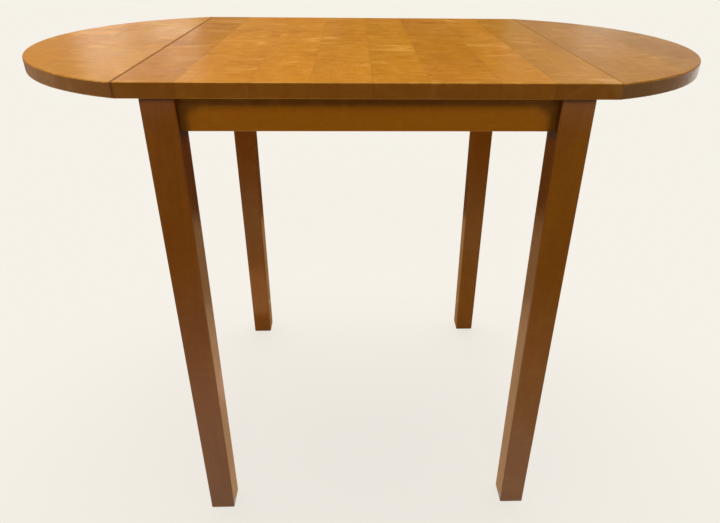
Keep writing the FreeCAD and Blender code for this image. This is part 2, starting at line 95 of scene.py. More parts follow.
# %% [markdown]
# The camera stands in front of the table, a little above the top, and looks down.
# Its place was worked out from corners of the table whose real places are known.
# The picture is a cut of a wider one, so the lens looks a little past its middle: that is the small shift.

# %% Camera
PICTURE_WIDTH = 720
FOCAL_LENGTH_PIXELS = 599.55
LENS_MIDDLE_PIXEL = 376.74
SENSOR_WIDTH = 36.0
EYE = Vector((-0.01859, -1.02289, 0.91117))
LOOK_DOWN = math.radians(29.079)
LOOK_RIGHT = math.radians(2.227)
LEAN = math.radians(0.705)

camera_data = bpy.data.cameras.new("camera")
camera_data.sensor_width = SENSOR_WIDTH
camera_data.lens = FOCAL_LENGTH_PIXELS / PICTURE_WIDTH * SENSOR_WIDTH
camera_data.shift_x = (PICTURE_WIDTH / 2 - LENS_MIDDLE_PIXEL) / PICTURE_WIDTH
camera = bpy.data.objects.new("camera", camera_data)
bpy.context.scene.collection.objects.link(camera)
heading = Matrix.Rotation(-LOOK_RIGHT, 4, "Z")
dip = Matrix.Rotation(math.pi / 2 - LOOK_DOWN, 4, "X")
lean = Matrix.Rotation(LEAN, 4, "Z")
camera.matrix_world = Matrix.Translation(EYE) @ heading @ dip @ lean
bpy.context.scene.camera = camera
bpy.context.scene.view_settings.view_transform = "Standard"
print("camera lens", round(camera_data.lens, 3), "mm, shift", round(camera_data.shift_x, 4))

# %% [markdown]
# Materials are built from nodes in code, so a few small helpers keep the cells short.
# `node` adds a node and fills its sockets, with plain values or with links from other nodes.
# Colours are written as they look on a screen and turned into the linear values that Blender works with.

# %% Helpers for nodes
def screen_colour(red, green, blue):
    """A screen colour from 0 to 255 as a linear colour with full alpha."""
    shares = [value / 255 for value in (red, green, blue)]
    linear = [s / 12.92 if s <= 0.04045 else ((s + 0.055) / 1.055) ** 2.4 for s in shares]
    return (*linear, 1.0)


def plug(tree, socket, value):
    """Link a socket to another node's output, or set it to a plain value."""
    if isinstance(value, bpy.types.NodeSocket):
        tree.links.new(value, socket)
    else:
        socket.default_value = value


def node(tree, kind, sockets=None, **settings):
    """Add a node, change its settings and fill its input sockets."""
    made = tree.nodes.new("ShaderNode" + kind)
    for name, value in settings.items():
        setattr(made, name, value)
    for name, value in (sockets or {}).items():
        plug(tree, made.inputs[name], value)
    return made


print("honey as a linear colour", [round(value, 3) for value in screen_colour(198, 130, 41)])

# %% [markdown]
# A pattern is made of sums, steps, noise and layers of colour, so each of these has a helper as well.
# Most of them give back the socket that the next step links to.

# %% Helpers for patterns
def calc(tree, operation, *values):
    """One step of arithmetic on numbers."""
    return node(tree, "Math", dict(enumerate(values)), operation=operation).outputs[0]


def vector_calc(tree, operation, *values):
    """One step of arithmetic on vectors."""
    return node(tree, "VectorMath", dict(enumerate(values)), operation=operation).outputs[0]


def agreement(tree, one, other):
    """How far two directions agree: one if they are the same, zero at right angles."""
    return node(tree, "VectorMath", {0: one, 1: other}, operation="DOT_PRODUCT").outputs["Value"]


def rise(tree, value, low, high, start=0.0, end=1.0):
    """A smooth step: start below low, end above high."""
    sockets = {"Value": value, "From Min": low, "From Max": high, "To Min": start, "To Max": end}
    return node(tree, "MapRange", sockets, interpolation_type="SMOOTHSTEP").outputs[0]


def spread(tree, value, start, end):
    """A number from 0 to 1, spread evenly from start to end."""
    return node(tree, "MapRange", {"Value": value, "To Min": start, "To Max": end}).outputs[0]


def cloud(tree, vector, per_metre, detail=2.0, roughness=0.5, distortion=0.0):
    """Soft noise with its own number of cycles per metre along each axis."""
    stretched = vector_calc(tree, "MULTIPLY", vector, per_metre)
    sockets = {"Vector": stretched, "Scale": 1.0, "Detail": detail}
    sockets.update({"Roughness": roughness, "Distortion": distortion})
    return node(tree, "TexNoise", sockets)


def colour_mix(tree, share, under, over, kind="MIX"):
    """Lay one colour over another by a share."""
    made = node(tree, "Mix", {0: share, 6: under, 7: over}, data_type="RGBA", blend_type=kind)
    return made.outputs[2]


print("materials so far:", len(bpy.data.materials))

# %% [markdown]
# An effect that several materials share is a node group: it is built once, and each material gives it values.
# `new_group` makes an empty group with named sockets, and `use_group` places it in a material.

# %% Helpers for groups
def new_group(name, inputs, outputs):
    """An empty node group with named sockets, its given values and the sockets that it fills."""
    group = bpy.data.node_groups.new(name, "ShaderNodeTree")
    for socket, kind, value in inputs:
        made = group.interface.new_socket(socket, in_out="INPUT", socket_type="NodeSocket" + kind)
        if value is not None:
            made.default_value = value
    for socket in outputs:
        group.interface.new_socket(socket, in_out="OUTPUT", socket_type="NodeSocketFloat")
    given = group.nodes.new("NodeGroupInput").outputs
    filled = group.nodes.new("NodeGroupOutput").inputs
    return group, given, filled


def use_group(tree, group, **sockets):
    """Place a node group in a material, with its own values."""
    made = node(tree, "Group", node_tree=group)
    for name, value in sockets.items():
        plug(tree, made.inputs[name.replace("_", " ")], value)
    return made.outputs


print("node groups so far:", len(bpy.data.node_groups))

# %% [markdown]
# The wood is pale and close-grained, like maple or birch, under a honey-coloured lacquer.
# It could be painted on each face, but then the rings would not meet at the edges.
# A field in space is better: the distance to the middle of the tree gives the rings, and every cut
# shows them rightly. In this group the grain runs along Y, and a seed moves the tree about.

# %% Rings of the wood
HEART_SIDEWAYS = (-0.03, 0.11)
HEART_BELOW = (-0.1, -0.03)
HEART_SLANT = (-0.09, 0.09)
RING_WIDTH = 0.004
RING_WANDER = 0.014
WANDER_CYCLES = (14, 2.2, 14)
SEED_STEP = 5.0
LATE_WOOD = (0.25, 0.9)
YEAR_END = (0.92, 1.0, 1.0, 0.0)
YEAR_STRENGTH = (0.35, 1.0)

figure, given, filled = new_group(
    "wood figure",
    [("Vector", "Vector", None), ("Seed", "Float", 0.0), ("Ring Width", "Float", RING_WIDTH)],
    ["Rings", "Fibre", "Pores", "Curl", "Ripple", "Flecks", "Clouds"],
)
dice = node(figure, "TexWhiteNoise", {"W": given["Seed"]}, noise_dimensions="1D").outputs["Color"]
throws = node(figure, "SeparateXYZ", {0: dice}).outputs
moved = vector_calc(figure, "MULTIPLY_ADD", dice, (SEED_STEP,) * 3, given["Vector"])
wander = cloud(figure, moved, WANDER_CYCLES, detail=1.0).outputs["Color"]
wander = vector_calc(figure, "SUBTRACT", wander, (0.5, 0.5, 0.5))
bent = vector_calc(figure, "MULTIPLY_ADD", wander, (RING_WANDER,) * 3, given["Vector"])
place = node(figure, "SeparateXYZ", {0: bent}).outputs
slant = calc(figure, "MULTIPLY", place[1], spread(figure, throws[2], *HEART_SLANT))
sideways = calc(figure, "SUBTRACT", place[0], spread(figure, throws[0], *HEART_SIDEWAYS))
sideways = calc(figure, "SUBTRACT", sideways, slant)
upward = calc(figure, "SUBTRACT", place[2], spread(figure, throws[1], *HEART_BELOW))
upward = calc(figure, "ADD", upward, slant)
square = calc(figure, "MULTIPLY_ADD", sideways, sideways, calc(figure, "MULTIPLY", upward, upward))
years = calc(figure, "DIVIDE", calc(figure, "SQRT", square), given["Ring Width"])
season = calc(figure, "FRACT", years)
late_wood = calc(figure, "MULTIPLY", rise(figure, season, *LATE_WOOD), rise(figure, season, *YEAR_END))
year = calc(figure, "FLOOR", years)
good_year = node(figure, "TexWhiteNoise", {"W": year}, noise_dimensions="1D").outputs["Value"]
strength = spread(figure, good_year, *YEAR_STRENGTH)
plug(figure, filled["Rings"], calc(figure, "MULTIPLY", late_wood, strength))
print("rings take", len(figure.nodes), "nodes")

# %% [markdown]
# Fibres, short pores and the soft bands that cross the grain are noise, stretched along or across the fibres.
# The bands are strong in some patches of a board and faint in others, so a slower noise scales them.

# %% Fibres, pores and bands
CYCLES = {
    "fibre": (620, 7, 620),
    "pores": (1500, 110, 1500),
    "bands": (10, 30, 10),
    "patches": (9, 5, 9),
    "ripple": (42, 115, 42),
    "flecks": (26, 85, 26),
    "clouds": (16, 5, 16),
}
PORES = (0.63, 0.72)
BAND_PATCHES = (0.3, 0.6, 0.25, 1.0)
FLECKS = (0.72, 0.82)

fibre = cloud(figure, moved, CYCLES["fibre"], detail=3.0, roughness=0.6).outputs[0]
plug(figure, filled["Fibre"], fibre)
pores = cloud(figure, moved, CYCLES["pores"], detail=1.0).outputs[0]
plug(figure, filled["Pores"], rise(figure, pores, *PORES))
bands = cloud(figure, moved, CYCLES["bands"], detail=2.5, distortion=0.9).outputs[0]
patches = cloud(figure, moved, CYCLES["patches"], detail=1.0).outputs[0]
swing = calc(figure, "SUBTRACT", bands, 0.5)
swing = calc(figure, "MULTIPLY", swing, rise(figure, patches, *BAND_PATCHES))
plug(figure, filled["Curl"], calc(figure, "ADD", swing, 0.5))
ripple = cloud(figure, moved, CYCLES["ripple"], detail=2.0, distortion=0.5).outputs[0]
plug(figure, filled["Ripple"], ripple)
flecks = cloud(figure, moved, CYCLES["flecks"], detail=1.0).outputs[0]
plug(figure, filled["Flecks"], rise(figure, flecks, *FLECKS))
plug(figure, filled["Clouds"], cloud(figure, moved, CYCLES["clouds"], detail=2.0).outputs[0])
print("wood figure has", len(figure.nodes), "nodes")

# %% [markdown]
# Hands, cloths and chair backs rub the lacquer thin along every edge, and it turns a little paler there.
# On the wood that paler edge is also a painted highlight.
# Blender's Bevel node finds edges by looking at the faces round a point, so no edge has to be marked by hand.
# Where the rounded normal leaves the true one, there is an edge, and noise breaks the line up.

# %% Edge wear
EDGE_RADIUS = 0.002
EDGE_SAMPLES = 6
EDGE_RISE = (0.985, 0.8)
SCUFF_SIZE = 30.0
SCUFF_RISE = (0.3, 0.65, 0.25, 1.0)

edge_wear, given, filled = new_group(
    "edge wear",
    [("Vector", "Vector", None), ("Radius", "Float", EDGE_RADIUS), ("Scuff Size", "Float", SCUFF_SIZE)],
    ["Wear"],
)
rounded = node(edge_wear, "Bevel", {"Radius": given["Radius"]}, samples=EDGE_SAMPLES).outputs[0]
true_normal = node(edge_wear, "NewGeometry").outputs["True Normal"]
edge = rise(edge_wear, agreement(edge_wear, rounded, true_normal), *EDGE_RISE)
sockets = {"Vector": given["Vector"], "Scale": given["Scuff Size"], "Detail": 3.0}
scuffs = rise(edge_wear, node(edge_wear, "TexNoise", sockets).outputs[0], *SCUFF_RISE)
plug(edge_wear, filled["Wear"], calc(edge_wear, "MULTIPLY", edge, scuffs))
print("edge wear has", len(edge_wear.nodes), "nodes")

# %% [markdown]
# A lacquered table is never evenly glossy: wiping leaves faint streaks, and hands leave duller patches.
# Two noises of different size make this, and it changes only the roughness.

# %% Hand marks
HAND_CYCLES = (6, 6, 6)
HAND_SHARE = 0.6
WIPING_CYCLES = (70, 14, 70)
WIPING_SHARE = 0.4
MARK_RISE = (0.35, 0.65)

hand_marks, given, filled = new_group("hand marks", [("Vector", "Vector", None)], ["Marks"])
hands = cloud(hand_marks, given["Vector"], HAND_CYCLES, detail=3.0).outputs[0]
wiping = cloud(hand_marks, given["Vector"], WIPING_CYCLES, detail=2.0, distortion=1.0).outputs[0]
marks = calc(hand_marks, "MULTIPLY", hands, HAND_SHARE)
marks = calc(hand_marks, "MULTIPLY_ADD", wiping, WIPING_SHARE, marks)
plug(hand_marks, filled["Marks"], rise(hand_marks, marks, *MARK_RISE))
print("hand marks has", len(hand_marks.nodes), "nodes")

# %% [markdown]
# Shade is painted into closed-in places: under the edge of the top, and where legs meet aprons.
# Cycles has a node that looks round each point and tells how closed in it is, so no corner is marked by hand.
# It sees the floor as well, so the painted shade is faded out towards the feet.

# %% Painted shade in corners
SHADE_REACH = 0.026
SHADE_SAMPLES = 16
CLOSED_IN = (0.92, 0.8)
SHADE_FADE_HEIGHTS = (0.03, 0.06)
SHADE_PATCH_CYCLES = (60, 60, 60)
SHADE_PATCHES = (0.3, 0.7, 0.88, 1.0)

corner_shade, given, filled = new_group(
    "corner dirt",
    [("Vector", "Vector", None), ("Reach", "Float", SHADE_REACH)],
    ["Dirt"],
)
sockets = {"Distance": given["Reach"]}
# the occlusion finds closed-in places, where shade is painted darker
openness = node(corner_shade, "AmbientOcclusion", sockets, samples=SHADE_SAMPLES).outputs["AO"]
closed_in = rise(corner_shade, openness, *CLOSED_IN)
above_floor = node(corner_shade, "SeparateXYZ", {0: given["Vector"]}).outputs[2]
closed_in = calc(corner_shade, "MULTIPLY", closed_in, rise(corner_shade, above_floor, *SHADE_FADE_HEIGHTS))
patches = cloud(corner_shade, given["Vector"], SHADE_PATCH_CYCLES, detail=2.0).outputs[0]
patches = rise(corner_shade, patches, *SHADE_PATCHES)
plug(corner_shade, filled["Dirt"], calc(corner_shade, "MULTIPLY", closed_in, patches))
print("corner dirt has", len(corner_shade.nodes), "nodes")

# %% [markdown]
# The stain is written as a small set of colours, one for each thing that the figure tells apart.
# Late wood, fibres, bands, flecks and pores are laid over the light wood one by one, each by its own share.
# At the end the whole colour is multiplied by the tone of the plank.

# %% Colour of the wood
HONEY = {
    "light": screen_colour(218, 142, 22),
    "late": screen_colour(192, 113, 10),
    "fibre": screen_colour(205, 127, 14),
    "curl": screen_colour(250, 182, 84),
    "shade": screen_colour(184, 106, 10),
    "pore": screen_colour(118, 62, 10),
    "end": screen_colour(132, 63, 0),
    # worn edges: paler wood, and also a painted highlight along the edges
    "worn": screen_colour(244, 198, 118),
    # the colour of the painted shade in closed-in corners
    "dirt": screen_colour(60, 32, 6),
}
RING_SHARE = 0.25
FIBRE_RISE = (0.4, 0.7, 0.0, 0.4)
CLOUD_RISE = (0.4, 0.75, 0.0, 0.4)
CURL_LIGHT = (0.52, 0.76, 0.0)
CURL_DARK = (0.47, 0.24, 0.0)
RIPPLE_LIGHT = (0.5, 0.75, 0.0)
RIPPLE_DARK = (0.5, 0.25, 0.0)
RIPPLE_SHARE = 0.4
PORE_SHARE = 0.25


def wood_colour(tree, wood, tone, stain, curl):
    """The colour of clean wood: the light stain, with each part of the figure laid over it."""
    layers = [
        (calc(tree, "MULTIPLY", wood["Rings"], RING_SHARE), "late"),
        (rise(tree, wood["Fibre"], *FIBRE_RISE), "fibre"),
        (rise(tree, wood["Clouds"], *CLOUD_RISE), "late"),
        (rise(tree, wood["Curl"], *CURL_LIGHT, curl), "curl"),
        (rise(tree, wood["Curl"], *CURL_DARK, curl), "shade"),
        (rise(tree, wood["Ripple"], *RIPPLE_LIGHT, RIPPLE_SHARE * curl), "curl"),
        (rise(tree, wood["Ripple"], *RIPPLE_DARK, RIPPLE_SHARE * curl), "shade"),
        (calc(tree, "MULTIPLY", wood["Flecks"], curl), "shade"),
        (calc(tree, "MULTIPLY", wood["Pores"], PORE_SHARE), "pore"),
    ]
    colour = stain["light"]
    for share, name in layers:
        colour = colour_mix(tree, share, colour, stain[name])
    return colour_mix(tree, 1.0, colour, tone, "MULTIPLY")


print("colours in a stain:", len(HONEY))

# %% [markdown]
# Over the colour lie the marks of use, and some painted light. Faces cut across the grain soak up more stain,
# so they are darker and duller than the long faces. Worn edges are paler, and that paler line is also a painted
# highlight. Closed-in corners get painted shade, dark and dull.
# A panel also has glue lines between its staves, and wax and crumbs along its seams.

# %% Lacquer over the wood
GRAIN_WAYS = {"X": (1, 0, 0), "Y": (0, 1, 0), "Z": (0, 0, 1)}
END_RISE = (0.55, 0.95)
END_SHARE = 0.65
WEAR_AND_HIGHLIGHT_SHARE = 0.3
GLUE_LINE = screen_colour(110, 58, 8)
GLUE_SHARE = 0.2
SEAM_DIRT = screen_colour(126, 66, 14)
SEAM_DULLNESS = 0.5
MARKS_DULLNESS = 0.08
FIBRE_DULLNESS = 0.06
END_DULLNESS = 0.12
SHADE_DULLNESS = 0.15
FIBRE_HEIGHT = 0.5
RING_HEIGHT = 0.4
RELIEF_DEPTH = 0.0002


def wood_finish(tree, shader, coordinates, vector, seed, tone, grain, finish, joint=None, seam=None):
    """Colour, gloss and relief of one piece of wood, stained and lacquered or raw."""
    stain = finish["stain"]
    place = coordinates["Object"]
    wood = use_group(tree, figure, Vector=vector, Seed=seed)
    wear = use_group(tree, edge_wear, Vector=place)["Wear"]
    marks = use_group(tree, hand_marks, Vector=place)["Marks"]
    dirt = use_group(tree, corner_shade, Vector=place)["Dirt"]
    facing = agreement(tree, coordinates["Normal"], GRAIN_WAYS[grain])
    ends = rise(tree, calc(tree, "ABSOLUTE", facing), *END_RISE)

    colour = wood_colour(tree, wood, tone, stain, finish["curl"])
    colour = colour_mix(tree, calc(tree, "MULTIPLY", ends, END_SHARE), colour, stain["end"])
    # paler worn edges, which also paint a highlight along them
    colour = colour_mix(tree, calc(tree, "MULTIPLY", wear, WEAR_AND_HIGHLIGHT_SHARE), colour, stain["worn"])
    # painted shade: closed-in corners and the band under the top's edge are darkened
    colour = colour_mix(tree, calc(tree, "MULTIPLY", dirt, finish["dirt"]), colour, stain["dirt"])
    gloss = calc(tree, "MULTIPLY_ADD", marks, MARKS_DULLNESS, finish["dullness"])
    gloss = calc(tree, "MULTIPLY_ADD", wood["Fibre"], FIBRE_DULLNESS, gloss)
    gloss = calc(tree, "MULTIPLY_ADD", ends, END_DULLNESS, gloss)
    # the painted shade also dulls the lacquer
    gloss = calc(tree, "MULTIPLY_ADD", dirt, SHADE_DULLNESS, gloss)
    height = calc(tree, "MULTIPLY", wood["Rings"], RING_HEIGHT)
    height = calc(tree, "MULTIPLY_ADD", wood["Fibre"], FIBRE_HEIGHT, height)
    height = calc(tree, "SUBTRACT", height, wood["Pores"])
    if joint is not None:
        colour = colour_mix(tree, calc(tree, "MULTIPLY", joint, GLUE_SHARE), colour, GLUE_LINE)
        colour = colour_mix(tree, seam, colour, SEAM_DIRT)
        gloss = calc(tree, "MULTIPLY_ADD", seam, SEAM_DULLNESS, gloss)
        height = calc(tree, "SUBTRACT", height, joint)
    plug(tree, shader.inputs["Base Color"], colour)
    plug(tree, shader.inputs["Roughness"], gloss)
    sockets = {"Strength": finish["relief"], "Distance": RELIEF_DEPTH, "Height": height}
    plug(tree, shader.inputs["Normal"], node(tree, "Bump", sockets).outputs[0])
    shader.inputs["Specular Tint"].default_value = finish["sheen"]


print("grain directions", sorted(GRAIN_WAYS))

# %% [markdown]
# The top is glued up from eight staves, and their joints run from front to back, across the long way of the
# table. Each stave is a different plank, so it has its own rings and its own tone.
# A small group counts the joints that lie to the left of a point: that is the number of its stave.

# %% Staves
GLUE_HALF_WIDTH = 0.0003


def stave_group(name, widths):
    """A group that finds a point's stave, its place across that stave and the glue line beside it."""
    group, given, filled = new_group(name, [("Across", "Float", 0.0)], ["Index", "From Joint", "Glue"])
    index = 0.0
    left = 0.0
    nearest = 1.0
    joint = 0.0
    for width in widths[:-1]:
        joint += width
        passed = calc(group, "GREATER_THAN", given["Across"], joint)
        index = calc(group, "ADD", index, passed)
        left = calc(group, "MULTIPLY_ADD", passed, width, left)
        gap = calc(group, "ABSOLUTE", calc(group, "SUBTRACT", given["Across"], joint))
        nearest = calc(group, "MINIMUM", nearest, gap)
    plug(group, filled["Index"], index)
    plug(group, filled["From Joint"], calc(group, "SUBTRACT", given["Across"], left))
    plug(group, filled["Glue"], rise(group, nearest, GLUE_HALF_WIDTH, 2 * GLUE_HALF_WIDTH, 1.0, 0.0))
    return group


def stave_tones(tree, index, tones):
    """The tone of each stave, by its number."""
    ramp = node(tree, "ValToRGB")
    stops = ramp.color_ramp.elements
    ramp.color_ramp.interpolation = "CONSTANT"
    while len(stops) < len(tones):
        stops.new(1.0)
    for place, tone in enumerate(tones):
        stops[place].position = place / len(tones)
        stops[place].color = tone
    middle = calc(tree, "DIVIDE", calc(tree, "ADD", index, 0.5), len(tones))
    plug(tree, ramp.inputs[0], middle)
    return ramp.outputs[0]


CENTRE_STAVES = [0.074, 0.087, 0.072, 0.076, 0.070, 0.086, 0.066, 0.082]
LEAF_STAVES = [0.115, 0.0925]
centre_group = stave_group("centre staves", CENTRE_STAVES)
leaf_group = stave_group("leaf staves", LEAF_STAVES)
print("centre top:", len(CENTRE_STAVES), "staves,", round(sum(CENTRE_STAVES), 3), "m wide")

# %% [markdown]
# No two planks have the same tone. The tones here are shares of the stain: red, green and blue.
# A finish says how strong the bands are, how dull the lacquer is, how much painted shade darkens its closed-in
# corners, how much relief there is, and which tint the reflections take. The leaves differ from the centre top
# in the stain of their end grain and in that tint.

# %% Tones and finishes of the top
WARM = (1.0, 1.0, 1.0, 1.0)
ROSY = (0.95, 0.92, 0.98, 1.0)
PALE = (1.12, 1.12, 1.12, 1.0)
CREAM = (1.06, 1.07, 1.08, 1.0)
YELLOW = (1.01, 1.03, 0.75, 1.0)
BROWN = (0.95, 0.93, 0.8, 1.0)
SANDY = (0.88, 0.95, 1.2, 1.0)
GOLDEN = (1.07, 1.13, 1.12, 1.0)
DUSKY = (0.8, 0.86, 1.0, 1.0)
GREYISH = (0.7, 0.76, 0.95, 1.0)
WARM_SHEEN = (1.0, 0.75, 0.3, 1.0)
NEUTRAL_SHEEN = (1.0, 0.95, 0.9, 1.0)

TOP_FINISH = {
    "stain": HONEY,
    "curl": 0.75,
    "dullness": 0.26,
    "dirt": 0.3,
    "relief": 0.25,
    "sheen": WARM_SHEEN,
}
LEFT_STAIN = {**HONEY, "end": screen_colour(142, 78, 10)}
RIGHT_STAIN = {**HONEY, "end": screen_colour(104, 66, 16)}
LEFT_FINISH = {**TOP_FINISH, "stain": LEFT_STAIN, "sheen": NEUTRAL_SHEEN}
RIGHT_FINISH = {**TOP_FINISH, "stain": RIGHT_STAIN, "sheen": NEUTRAL_SHEEN}
print("a finish sets", sorted(TOP_FINISH))

# %% [markdown]
# One function makes the material of a panel, whether it is the centre top or a leaf. It counts the
# staves from one edge and gives each its own seed and tone. Wax and crumbs darken the edges at the seams.
# Heights are taken from the underside of the top, so the boards look the same on a higher table.

# %% Material of a panel
SEAM_REACH = 0.003
centre_low, centre_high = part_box("centre_top")


def new_material(name):
    """A material with its shader, ready for nodes, and its own coordinates."""
    material = bpy.data.materials.new(name)
    material.use_nodes = True
    tree = material.node_tree
    shader = tree.nodes["Principled BSDF"]
    return material, tree, shader, node(tree, "TexCoord").outputs


def panel_material(name, group, tones, first_seed, start, way, seams, finish):
    """A panel of staves, counted from a start along X, to the right (1) or to the left (-1).

    Each seam is given by its distance from the start and a share of dirt.
    """
    material, tree, shader, coordinates = new_material(name)
    axes = node(tree, "SeparateXYZ", {0: coordinates["Object"]}).outputs
    across = calc(tree, "MULTIPLY", calc(tree, "SUBTRACT", axes[0], start), way)
    level = calc(tree, "SUBTRACT", axes[2], centre_low.z)
    stave = use_group(tree, group, Across=across)
    vector = node(tree, "CombineXYZ", {0: stave["From Joint"], 1: axes[1], 2: level}).outputs[0]
    seed = calc(tree, "ADD", stave["Index"], first_seed)
    tone = stave_tones(tree, stave["Index"], tones)
    dirt = 0.0
    for distance, share in seams:
        gap = calc(tree, "ABSOLUTE", calc(tree, "SUBTRACT", across, distance))
        dirt = calc(tree, "MAXIMUM", dirt, rise(tree, gap, SEAM_REACH / 3, SEAM_REACH, share, 0.0))
    wood_finish(tree, shader, coordinates, vector, seed, tone, "Y", finish, stave["Glue"], dirt)
    return material


print("the underside of the top is at", round(centre_low.z, 4), "m")

# %% [markdown]
# Each leaf is glued up from two wide staves that run the same way as those of the top.
# They are counted outwards from the seam, so both leaves can share one group and differ in seed and tone.
# The left seam holds far more dirt than the right one.

# %% Panels of the top
LEFT_DIRT = 0.6
RIGHT_DIRT = 0.05
CENTRE_TONES = [ROSY, PALE, PALE, CREAM, YELLOW, BROWN, WARM, SANDY]
LEFT_TONES = [GOLDEN, CREAM]
RIGHT_TONES = [DUSKY, GREYISH]
CENTRE_SEED = 3.0
LEFT_SEED = 20.0
RIGHT_SEED = 30.0


def wear_material(name, material):
    """Put a material in every slot of a piece."""
    for slot in nodes[name].material_slots:
        slot.material = material


left_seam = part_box("left_leaf")[1].x
right_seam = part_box("right_leaf")[0].x
centre_dirt = [(0.0, LEFT_DIRT), (centre_high.x - centre_low.x, RIGHT_DIRT)]
left_dirt = [(0.0, LEFT_DIRT)]
right_dirt = [(0.0, RIGHT_DIRT)]
centre_wood = panel_material(
    "centre top lacquer", centre_group, CENTRE_TONES, CENTRE_SEED, centre_low.x, 1, centre_dirt, TOP_FINISH)
left_wood = panel_material(
    "left leaf lacquer", leaf_group, LEFT_TONES, LEFT_SEED, left_seam, -1, left_dirt, LEFT_FINISH)
right_wood = panel_material(
    "right leaf lacquer", leaf_group, RIGHT_TONES, RIGHT_SEED, right_seam, 1, right_dirt, RIGHT_FINISH)
wear_material("centre_top", centre_wood)
wear_material("left_leaf", left_wood)
wear_material("right_leaf", right_wood)
print("nodes in the centre top's material:", len(centre_wood.node_tree.nodes))

# %% [markdown]
# The legs and aprons get darker tones than the top, as painted shade for their upright faces, and each leg's
# tone is set for how it is lit. Their bands are fainter. Flies and rails are duller. Corner blocks and buttons
# are never seen in use, so they are left raw: paler, rougher and without lacquer. Each finish changes only
# what differs from an earlier one.

# %% Tones and finishes of the bars
RAW = {
    "light": screen_colour(224, 190, 138),
    "late": screen_colour(203, 163, 108),
    "fibre": screen_colour(212, 175, 121),
    "curl": screen_colour(233, 205, 160),
    "shade": screen_colour(193, 152, 99),
    "pore": screen_colour(146, 108, 66),
    "end": screen_colour(178, 136, 86),
    # worn edges: paler wood, and also a painted highlight along the edges
    "worn": screen_colour(236, 214, 176),
    # the colour of the painted shade in closed-in corners
    "dirt": screen_colour(84, 58, 34),
}
# darker tones of legs and aprons: painted shade, set for how each piece is lit
DEEP_SHADE_TONE = (0.65, 0.57, 0.33, 1.0)
UMBER_SHADE_TONE = (0.6, 0.48, 0.24, 1.0)
DUN_SHADE_TONE = (0.68, 0.6, 0.38, 1.0)
RUSSET_SHADE_TONE = (0.64, 0.52, 0.25, 1.0)
AMBER_SHADE_TONE = (0.88, 0.76, 0.22, 1.0)
MIDDLE_SHEEN = (1.0, 0.82, 0.5, 1.0)

# legs and aprons get strong painted shade under the top and where they meet
LEG_FINISH = {**TOP_FINISH, "curl": 0.15, "dullness": 0.14, "dirt": 0.7, "sheen": NEUTRAL_SHEEN}
REAR_LEG_FINISH = {**LEG_FINISH, "sheen": MIDDLE_SHEEN}
APRON_FINISH = {**LEG_FINISH, "dullness": 0.24, "sheen": WARM_SHEEN}
FLY_FINISH = {**APRON_FINISH, "curl": 0.1, "dullness": 0.34, "dirt": 0.4, "relief": 0.3}
RAW_FINISH = {**FLY_FINISH, "stain": RAW, "dullness": 0.55, "relief": 0.5, "sheen": NEUTRAL_SHEEN}
print("dullness of a leg", LEG_FINISH["dullness"], "and of raw wood", RAW_FINISH["dullness"])

# %% [markdown]
# Legs, aprons, flies and rails are each sawn from one plank, with the grain along their length, so each has
# a material of its own, with its own seed. A Mapping node moves the field to the middle of the piece and
# turns it so that Y follows the grain.

# %% Solid bars
GRAIN_TURNS = {"X": (0, 0, -math.pi / 2), "Y": (0, 0, 0), "Z": (math.pi / 2, 0, 0)}
FIRST_BAR_SEED = 40.0
CORNERS = ["front_left", "front_right", "rear_left", "rear_right"]


def piece_vector(tree, coordinates, name, grain):
    """Coordinates from the middle of a piece, turned so that Y follows its grain."""
    low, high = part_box(name)
    sockets = {"Vector": coordinates["Object"], "Location": (low + high) / 2, "Rotation": GRAIN_TURNS[grain]}
    return node(tree, "Mapping", sockets, vector_type="TEXTURE").outputs[0]


def bar_material(name, grain, seed, tone, finish):
    """Wood for a piece sawn from one plank."""
    material, tree, shader, coordinates = new_material(name.replace("_", " ") + " wood")
    vector = piece_vector(tree, coordinates, name, grain)
    wood_finish(tree, shader, coordinates, vector, seed, tone, grain, finish)
    wear_material(name, material)


BARS = [
    ("front_left_leg", "Z", UMBER_SHADE_TONE, LEG_FINISH),
    ("front_right_leg", "Z", DEEP_SHADE_TONE, LEG_FINISH),
    ("rear_left_leg", "Z", RUSSET_SHADE_TONE, REAR_LEG_FINISH),
    ("rear_right_leg", "Z", DUN_SHADE_TONE, REAR_LEG_FINISH),
    ("front_apron", "X", AMBER_SHADE_TONE, APRON_FINISH),
    ("rear_apron", "X", AMBER_SHADE_TONE, APRON_FINISH),
    ("left_apron", "Y", AMBER_SHADE_TONE, APRON_FINISH),
    ("right_apron", "Y", AMBER_SHADE_TONE, APRON_FINISH),
    ("left_fly_rail", "Y", WARM, FLY_FINISH),
    ("right_fly_rail", "Y", WARM, FLY_FINISH),
]
BARS += [(corner + "_fly", "Y", PALE, FLY_FINISH) for corner in CORNERS]
BARS += [(corner + "_corner_block", "Z", WARM, RAW_FINISH) for corner in CORNERS]
BARS += [("top_buttons", "Y", WARM, RAW_FINISH)]
for number, (name, grain, tone, finish) in enumerate(BARS):
    bar_material(name, grain, FIRST_BAR_SEED + number, tone, finish)
print("bars:", len(BARS))

# %% [markdown]
# Hinges, bolts and screws are steel under a thin coat of zinc. Zinc is a little cloudy, tools and packing
# leave fine scratches in it, and after some years small spots of rust come through where the coat has gone.
# One group gives these three masks, so that every steel piece can mix them in its own shares.

# %% Zinc coat
ZINC_CYCLES = (320, 320, 320)
ZINC_CLOUDS = (0.35, 0.65)
SCRATCH_TURN = (0.4, 0.3, 0.7)
SCRATCH_CYCLES = (4200, 90, 4200)
SCRATCHES = (0.62, 0.72)
RUST_CYCLES = (110, 110, 110)
RUST_SPOTS = (0.62, 0.74)

